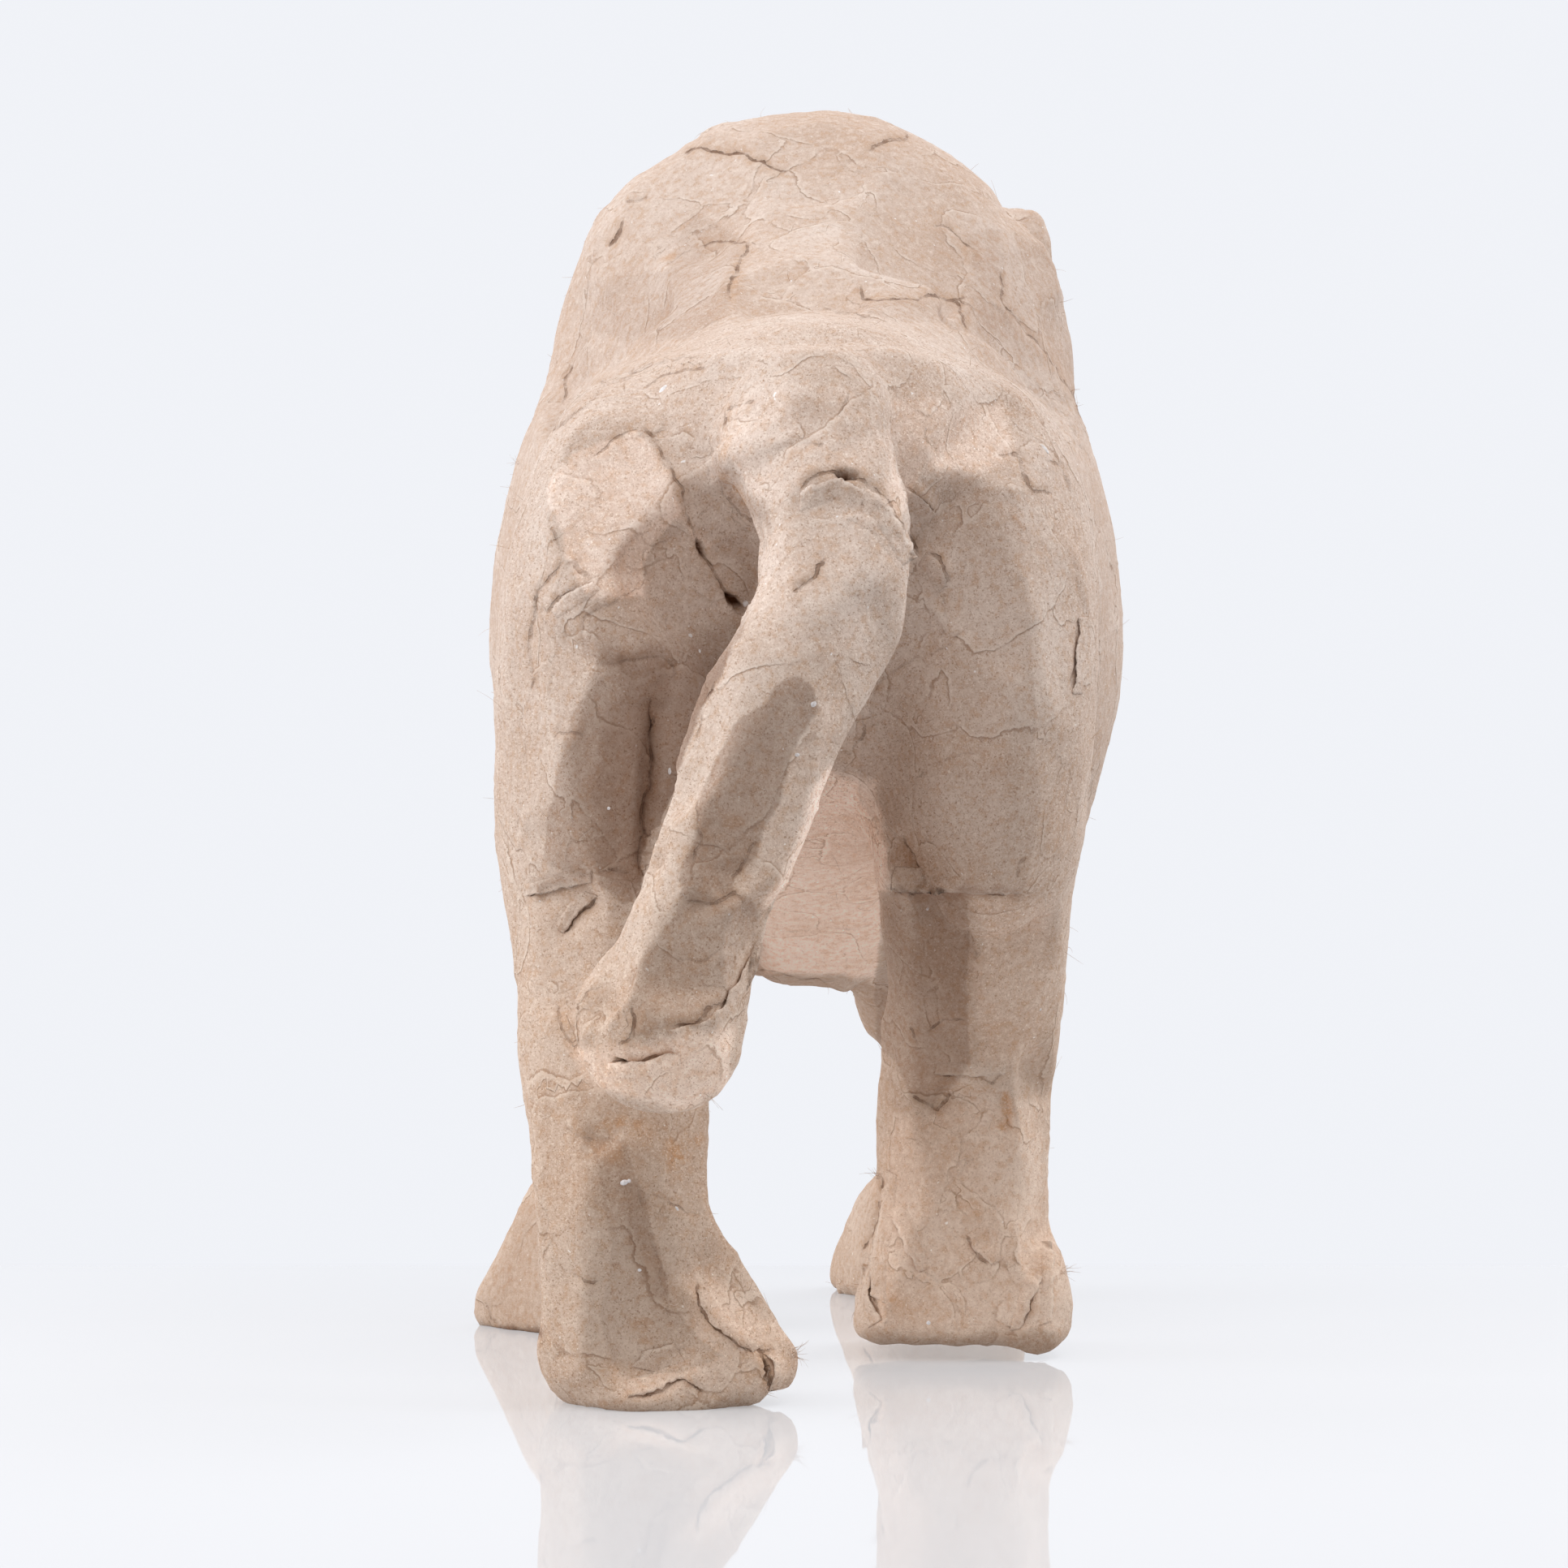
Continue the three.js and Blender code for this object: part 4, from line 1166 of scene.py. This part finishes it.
def alongLine(line, count):
    # that many points evenly along a line
    line = np.asarray(line, float)
    length = np.concatenate([[0], np.cumsum(np.linalg.norm(np.diff(line, axis=0), axis=1))])
    share = np.linspace(0, length[-1], count)
    return np.stack([np.interp(share, length, line[:, k]) for k in range(2)], 1)


# Loose torn edges: pixels along the root, pixels along the free edge, and its lift in mm
flapSettings = {
    "thickness": 0.2,
    "sunk": 0.3,
    "columns": 7,
    "fray": 1.1,
    "perPixel": 0.11,
    "seed": 41,
}
flaps = [
    # right hind foot, left side and right side
    (
        [(1110, 1450), (1106, 1510), (1098, 1560), (1098, 1610)],
        [(1092, 1441), (1085, 1505), (1074, 1545), (1072, 1596)],
        0.35,
    ),
    ([(1060, 1556), (1058, 1600), (1064, 1640)], [(1075, 1560), (1073, 1598), (1087, 1626)], 0.4),
    ([(1262, 1560), (1250, 1600), (1240, 1640)], [(1285, 1574), (1272, 1600), (1258, 1637)], 0.5),
    ([(1276, 1530), (1280, 1580), (1274, 1636)], [(1296, 1530), (1298, 1594), (1296, 1628)], 0.3),
    ([(1120, 1480), (1135, 1510), (1150, 1560)], [(1097, 1490), (1112, 1530), (1132, 1568)], 0.5),
    ([(1210, 1510), (1225, 1530), (1240, 1550)], [(1191, 1521), (1203, 1542), (1222, 1558)], 0.45),
    # right shank
    (
        [(1100, 1070), (1150, 1072), (1200, 1074), (1258, 1074)],
        [(1098, 1095), (1150, 1100), (1200, 1099), (1260, 1101)],
        0.3,
    ),
    ([(1156, 1305), (1200, 1303), (1240, 1300)], [(1152, 1322), (1199, 1325), (1238, 1322)], 0.4),
    # left hind foot
    (
        [(885, 1580), (890, 1600), (905, 1618), (925, 1638), (950, 1650)],
        [(858, 1590), (862, 1607), (877, 1633), (902, 1651), (927, 1667)],
        0.6,
    ),
    ([(972, 1672), (975, 1690), (966, 1710)], [(942, 1669), (954, 1688), (948, 1714)], 0.8),
    ([(770, 1690), (810, 1685), (840, 1670), (870, 1690)], [(774, 1722), (806, 1717), (836, 1699), (869, 1713)], 0.5),
    ([(815, 1692), (850, 1688)], [(778, 1684), (793, 1666), (830, 1655)], 0.35),
    # tail
    ([(745, 1335), (790, 1335), (840, 1325)], [(750, 1310), (790, 1307), (838, 1296)], 0.6),
    ([(850, 1290), (890, 1270), (915, 1240), (938, 1190)], [(824, 1268), (868, 1258), (890, 1236), (930, 1166)], 0.5),
    ([(985, 640), (1030, 622), (1060, 640)], [(986, 606), (1027, 590), (1064, 602)], 0.5),
    ([(1050, 615), (1075, 650), (1105, 700)], [(1071, 602), (1098, 632), (1128, 688)], 0.6),
    # left hip and thigh
    ([(650, 1085), (700, 1070), (730, 1066)], [(648, 1106), (700, 1092), (729, 1086)], 0.7),
    ([(715, 1096), (695, 1112), (680, 1140)], [(737, 1104), (715, 1126), (694, 1150)], 0.7),
    ([(690, 765), (718, 750), (745, 728)], [(680, 753), (700, 733), (729, 716)], 0.4),
    # right hip
    ([(1128, 700), (1140, 716), (1150, 735)], [(1142, 681), (1158, 696), (1167, 720)], 0.9),
    ([(1105, 612), (1125, 632), (1142, 648)], [(1113, 598), (1132, 612), (1152, 632)], 0.6),
    ([(1345, 760), (1342, 800), (1338, 855)], [(1330, 760), (1325, 800), (1322, 855)], 0.45),
]


def groundUnder(pixels):
    # The skin and its normals under a grid of pixels. Where the sight line passes the lion, or meets a part of
    # it that lies well before or behind the rest, the place follows from the nearest pixel that is on it.
    flatPixels = pixels.reshape(-1, 2)
    found = [onSkin(*pixel) for pixel in flatPixels]
    depths = np.array([1e9 if place is None else place[1] for place, _ in found])
    middle = np.median(depths[depths < 1e9])
    good = np.flatnonzero(np.abs(depths - middle) < 5)
    places, normals = np.empty((len(found), 3)), np.empty((len(found), 3))
    for i, pixel in enumerate(flatPixels):
        k = good[np.argmin(np.linalg.norm(flatPixels[good] - pixel, axis=1))]
        shift = (pixel - flatPixels[k]) * (found[k][0][1] - cameraAt[1]) / cameraSettings["focalPixels"]
        places[i] = found[k][0] + rightDirection * shift[0] - upDirection * shift[1]
        normals[i] = found[k][1]
    return places.reshape(pixels.shape[:2] + (3,)), normals.reshape(pixels.shape[:2] + (3,))


def looseFlap(root, free, lift, rng):
    # A grid from the root to the free edge, laid on the skin by its pixels. It leaves the skin at the root and
    # rises with the square of the way to the free edge, which frays in and out.
    longest = max(np.linalg.norm(np.diff(np.asarray(line, float), axis=0), axis=1).sum() for line in (root, free))
    rows, columns = int(longest / 3) + 4, flapSettings["columns"]
    root, free = alongLine(root, rows), alongLine(free, rows)
    fray = np.convolve(rng.normal(0, 1, rows + 4), (0.1, 0.2, 0.4, 0.2, 0.1), "valid") * flapSettings["fray"] * 2
    outwards = (free - root) / np.maximum(np.linalg.norm(free - root, axis=1, keepdims=True), 1)
    free = free + outwards * fray[:, None]
    t = np.linspace(0, 1, columns)
    ends = np.minimum(np.linspace(0, 1, rows), np.linspace(1, 0, rows))
    ends = smooth(ends, 0, 0.22)[:, None]
    pixels = root[:, None] * (1 - t[:, None]) + free[:, None] * t[:, None]
    places, normals = groundUnder(pixels)
    normals = normals + normals.mean(axis=1, keepdims=True) + normals.mean(axis=(0, 1))
    normals /= np.linalg.norm(normals, axis=2, keepdims=True)
    wave = np.convolve(rng.normal(0, 1, rows + 8), np.hanning(9) / 4, "valid")[:, None] * 0.35 + 1
    rooted = -flapSettings["sunk"] + (flapSettings["sunk"] + 0.12) * smooth(t, 0, 0.35)
    height = rooted + lift * 0.6 * wave * ends * t**2
    top = places + normals * height[..., None]
    top[..., 2] = np.maximum(top[..., 2], 0.15)
    bottom = top - normals * (flapSettings["thickness"] * (1 - 0.55 * t**3))[None, :, None]
    bottom[..., 2] = np.maximum(bottom[..., 2], 0.02)
    points, faces = closedUp(top, bottom)
    width = np.linalg.norm(free - root, axis=1)[:, None] * flapSettings["perPixel"] * (1 - t) + 0.1
    pixels = pixels.reshape(-1, 2)
    facetSide, paintedFacetShade = facetShade(pixels[:, 0], pixels[:, 1])
    marks = {
        "stripEdge": np.tile(np.broadcast_to(width, (rows, columns)).ravel(), 2),
        "stripTone": np.full(len(points), rng.uniform(0.3, 0.8)),
        "creaseSide": np.full(len(points), 3.0),
        "creaseDeep": np.zeros(len(points)),
        "shade": np.tile(paintedShadeAt(pixels[:, 0], pixels[:, 1]), 2),
        "stain": np.zeros(len(points)),
        "facetSide": np.tile(facetSide * flapSettings["perPixel"], 2),
        "paintedFacetShade": np.tile(paintedFacetShade, 2),
    }
    return points, faces, marks


def joined(pieces):
    # several pieces' points, triangles and marks as one
    points, faces, marks = [], [], {key: [] for key in pieces[0][2]}
    start = 0
    for piecePoints, pieceFaces, pieceMarks in pieces:
        points.append(piecePoints)
        faces.append(pieceFaces + start)
        start += len(piecePoints)
        for key, values in pieceMarks.items():
            marks[key].append(values)
    return np.concatenate(points), np.concatenate(faces), {key: np.concatenate(v) for key, v in marks.items()}


rng = np.random.default_rng(flapSettings["seed"])
flapPoints, flapFaces, flapMarks = joined([looseFlap(*flap, rng) for flap in flaps])
makePiece("loose_flaps", flapPoints, flapFaces, paper, flapMarks)
print("flaps laid")


# Stray fibres: hair-thin curved threads, all over and in tufts (the pixel, how many, spread in pixels, way)
fibreSettings = {
    "everywhere": 900,
    "length": (0.8, 2.4),
    "radius": 0.035,
    "rings": 5,
    "seed": 77,
}
tufts = [
    (982, 1668, 60, 9, (0.9, -0.3, 0.1)),
    (1052, 1590, 24, 18, (-0.9, -0.4, 0.0)),
    (1308, 1565, 14, 8, (0.9, -0.4, 0.1)),
    (1085, 1450, 8, 6, (-0.7, -0.5, 0.5)),
    (640, 571, 6, 3, (-0.8, -0.4, 0.3)),
    (636, 616, 4, 6, (-0.9, -0.4, 0.1)),
    (868, 1352, 6, 6, (0.4, -0.5, -0.6)),
    (1250, 636, 10, 10, (0.3, -0.8, 0.2)),
    (945, 1712, 14, 10, (0.2, -0.8, -0.3)),
    (920, 1664, 12, 8, (-0.2, -0.8, 0.2)),
    (1185, 1430, 8, 10, (0.1, -0.8, 0.3)),
]


def threads(starts, ways, lengths, rng):
    # Each thread runs from its start along its way and bends with the square of the way along; a ring of three
    # points at each step thins towards the end.
    count, rings = len(starts), fibreSettings["rings"]
    t = np.linspace(0, 1, rings)[None, :, None]
    bend = rng.normal(0, 0.35, (count, 1, 3))
    middle = starts[:, None] + (ways[:, None] * t + bend * t**2) * lengths[:, None, None]
    middle[..., 2] = np.maximum(middle[..., 2], fibreSettings["radius"] + 0.02)
    side = np.cross(ways, rng.normal(size=(count, 3)))
    side /= np.linalg.norm(side, axis=1, keepdims=True)
    other = np.cross(ways, side)
    turn = np.arange(3) * 2 * math.pi / 3
    ring = side[:, None] * np.cos(turn)[None, :, None] + other[:, None] * np.sin(turn)[None, :, None]
    radius = fibreSettings["radius"] * (1 - 0.6 * t[..., None])
    points = (middle[:, :, None] + ring[:, None] * radius).reshape(-1, 3)
    k = np.arange(rings - 1)[:, None] * 3
    a, b = np.arange(3)[None], (np.arange(3)[None] + 1) % 3
    walls = np.concatenate([np.stack([k + a, k + b, k + 3 + b], 2), np.stack([k + a, k + 3 + b, k + 3 + a], 2)])
    last = (rings - 1) * 3
    one = np.concatenate([walls.reshape(-1, 3), [[0, 2, 1], [last, last + 1, last + 2]]])
    faces = (one[None] + (np.arange(count) * rings * 3)[:, None, None]).reshape(-1, 3)
    return points, faces


def strayFibres():
    rng = np.random.default_rng(fibreSettings["seed"])
    rows = randomPlaces(rng, fibreSettings["everywhere"])
    starts = [skin.points[rows]]
    ways = [skin.normals[rows] * 0.45 + rng.normal(0, 0.6, (len(rows), 3))]
    for across, down, count, spread, way in tufts:
        for _ in range(count):
            place, _ = onSkin(across + rng.normal(0, spread / 2), down + rng.normal(0, spread / 2))
            if place is not None:
                starts.append(place[None])
                ways.append((np.array(way) + rng.normal(0, 0.35, 3))[None])
    starts, ways = np.concatenate(starts), np.concatenate(ways)
    ways /= np.linalg.norm(ways, axis=1, keepdims=True)
    lengths = rng.uniform(*fibreSettings["length"], len(starts))
    return threads(starts - ways * 0.15, ways, lengths, rng)


def fibrePaper():
    paint = Paint("loose fibre")
    tone = paint.noise(paint.place(), 900, 2, 0.5)
    base = paint.mix(tone.ramp(0.35, 0.65), paperColours["rust"], paperColours["fibre"])
    return paint.finish(Base_Color=base, Roughness=0.9, Specular_IOR_Level=0.3)


makePiece("stray_fibres", *strayFibres(), fibrePaper())
print("fibres scattered")


# White flecks in the paper: pixel, half length and half width in pixels, lean in degrees, height in mm
flecks = [
    (817, 479, 10, 6, 90, 0.25),
    (1287, 552, 9, 4, 40, 0.2),
    (919, 744, 6, 5, 0, 0.35),
    (769, 1457, 6, 4, -15, 0.45),
    (775, 1455, 3, 3, 20, 0.3),
    (788, 1565, 4, 3, 0, 0.15),
    (834, 1489, 5, 3, 20, 0.2),
    (862, 1267, 9, 5, -20, 0.15),
    (851, 783, 4, 4, 0, 0.2),
    (862, 802, 3, 4, 0, 0.2),
    (1143, 1120, 3, 3, 0, 0.2),
    (1282, 1244, 3, 3, 0, 0.15),
    (1144, 1630, 4, 4, 0, 0.15),
    (750, 996, 3, 3, 0, 0.2),
    (825, 950, 3, 7, 0, 0.15),
    (1002, 868, 5, 6, 30, 0.15),
    (982, 930, 6, 4, 0, 0.12),
]


def fleckOnSkin(across, down, halfLong, halfWide, lean, rise):
    # a low dome of three rings on the skin, flat beneath
    place, normal = onSkin(across, down)
    scale = (place[1] - cameraAt[1]) / cameraSettings["focalPixels"]
    c, s = math.cos(math.radians(lean)), math.sin(math.radians(lean))
    leaning = rightDirection * c - upDirection * s
    first = unit(leaning - normal * np.dot(leaning, normal))
    second = np.cross(normal, first)
    turn = np.linspace(0, 2 * math.pi, 11)[:-1]
    points = [place + normal * rise]
    for share in (0.5, 0.85, 1.0):
        out = first * (np.cos(turn) * halfLong)[:, None] + second * (np.sin(turn) * halfWide)[:, None]
        points += list(place + out * scale * share + normal * (rise * (1 - share**2) - 0.12 * share))
    points.append(place - normal * 0.3)
    a, b = np.arange(10), (np.arange(10) + 1) % 10
    faces = [np.stack([0 * a, 1 + a, 1 + b], 1)]
    for ring in (1, 11):
        faces.append(np.stack([ring + a, ring + 10 + a, ring + 10 + b], 1))
        faces.append(np.stack([ring + a, ring + 10 + b, ring + b], 1))
    faces.append(np.stack([21 + b, 21 + a, 31 + 0 * a], 1))
    return np.array(points), np.concatenate(faces), {}


def whitePulp():
    paint = Paint("white pulp")
    tone = paint.noise(paint.place(), 1800, 3, 0.6)
    base = paint.mix(tone.ramp(0.35, 0.65), rgb(214, 206, 202), rgb(240, 238, 240))
    return paint.finish(Base_Color=base, Roughness=0.9, Specular_IOR_Level=0.3)


fleckPoints, fleckFaces, _ = joined([fleckOnSkin(*fleck) for fleck in flecks])
makePiece("white_flecks", fleckPoints, fleckFaces, whitePulp())
print("flecks placed")


# The studio: a glossy white table, a white backdrop and large soft lights
studioSettings = {
    "table": (0.36, 0.36, 0.37, 1),
    "tableGlow": 0.33,
    "backdrop": rgb(240, 242, 247),
    "fill": 0.305,
}


def stageSheet(name, corners, material):
    mesh = bpy.data.meshes.new(name)
    mesh.from_pydata(corners, [], [tuple(range(len(corners)))])
    mesh.update()
    sheet = bpy.data.objects.new(name, mesh)
    mesh.materials.append(material)
    bpy.context.scene.collection.objects.link(sheet)
    return sheet


def tableTop():
    paint = Paint("white table")
    away = paint.node("ShaderNodeSeparateXYZ", {}, {"Vector": paint.place()}, output=1)
    glow = paint.mix(away.linear(-0.05, 0.14), (0.9, 0.92, 0.95, 1), (0.62, 0.64, 0.67, 1))
    return paint.finish(
        Base_Color=studioSettings["table"],
        Roughness=0.025,
        IOR=1.12,
        Emission_Color=glow,
        Emission_Strength=studioSettings["tableGlow"],
    )


def backdropGlow():
    paint = Paint("white backdrop")
    return paint.finish(
        Base_Color=(0, 0, 0, 1),
        Roughness=1.0,
        Emission_Color=studioSettings["backdrop"],
        Emission_Strength=1.0,
    )


stageSheet("table", [(-0.6, -0.3, 0), (0.6, -0.3, 0), (0.6, 0.14, 0), (-0.6, 0.14, 0)], tableTop())
stageSheet("backdrop", [(-6, 3.5, -0.5), (6, 3.5, -0.5), (6, 3.5, 5), (-6, 3.5, 5)], backdropGlow())


def softLight(name, at, toward, size, power, colour=(0.98, 0.995, 1.03)):
    data = bpy.data.lights.new(name, "AREA")
    data.shape = "RECTANGLE"
    data.size, data.size_y = size
    data.energy = power
    data.color = colour
    light = bpy.data.objects.new(name, data)
    light.location = at
    light.rotation_euler = (Vector(toward) - Vector(at)).to_track_quat("-Z", "Y").to_euler()
    bpy.context.scene.collection.objects.link(light)


# Each light's place in metres and its power in watts; all face the middle of the lion
softLights = {
    "left": ((-0.78, -0.12, 0.25), 3.9),
    "left behind": ((-0.6, 0.6, 0.3), 0.8),
    "right behind": ((0.6, 0.6, 0.3), 2.0),
    "top front": ((0.0, -0.55, 0.8), 3.2),
    "top left": ((-0.6, 0.0, 0.75), 2.7),
    "top right": ((0.6, 0.0, 0.75), 4.7),
}
for lightName, (lightAt, lightPower) in softLights.items():
    softLight(lightName, lightAt, (0, 0, 0.09), (0.7, 0.7), lightPower)


def studioAir():
    # pale where the camera looks past the table, and dim as a light, so that the side lights model the form
    world = bpy.data.worlds.new("studio")
    bpy.context.scene.world = world
    world.use_nodes = True
    nodes, links = world.node_tree.nodes, world.node_tree.links
    nodes.clear()
    pale = nodes.new("ShaderNodeBackground")
    pale.inputs["Color"].default_value = studioSettings["backdrop"]
    dim = nodes.new("ShaderNodeBackground")
    dim.inputs["Color"].default_value = (1, 0.92, 0.85, 1)
    dim.inputs["Strength"].default_value = studioSettings["fill"]
    path = nodes.new("ShaderNodeLightPath")
    mix = nodes.new("ShaderNodeMixShader")
    out = nodes.new("ShaderNodeOutputWorld")
    links.new(path.outputs["Is Camera Ray"], mix.inputs[0])
    links.new(dim.outputs[0], mix.inputs[1])
    links.new(pale.outputs[0], mix.inputs[2])
    links.new(mix.outputs[0], out.inputs["Surface"])


studioAir()

bpy.context.scene.view_settings.view_transform = "Standard"

lens = bpy.data.cameras.new("photo camera")
lens.sensor_width = 36
lens.lens = cameraSettings["focalPixels"] / cameraSettings["photoPixels"] * lens.sensor_width
lens.clip_start = 0.01
camera = bpy.data.objects.new("photo camera", lens)
camera.location = Vector(cameraAt / 1000)
camera.rotation_euler = (math.pi / 2 + cameraSettings["tilt"], 0, 0)
bpy.context.scene.collection.objects.link(camera)
bpy.context.scene.camera = camera
print("studio ready")
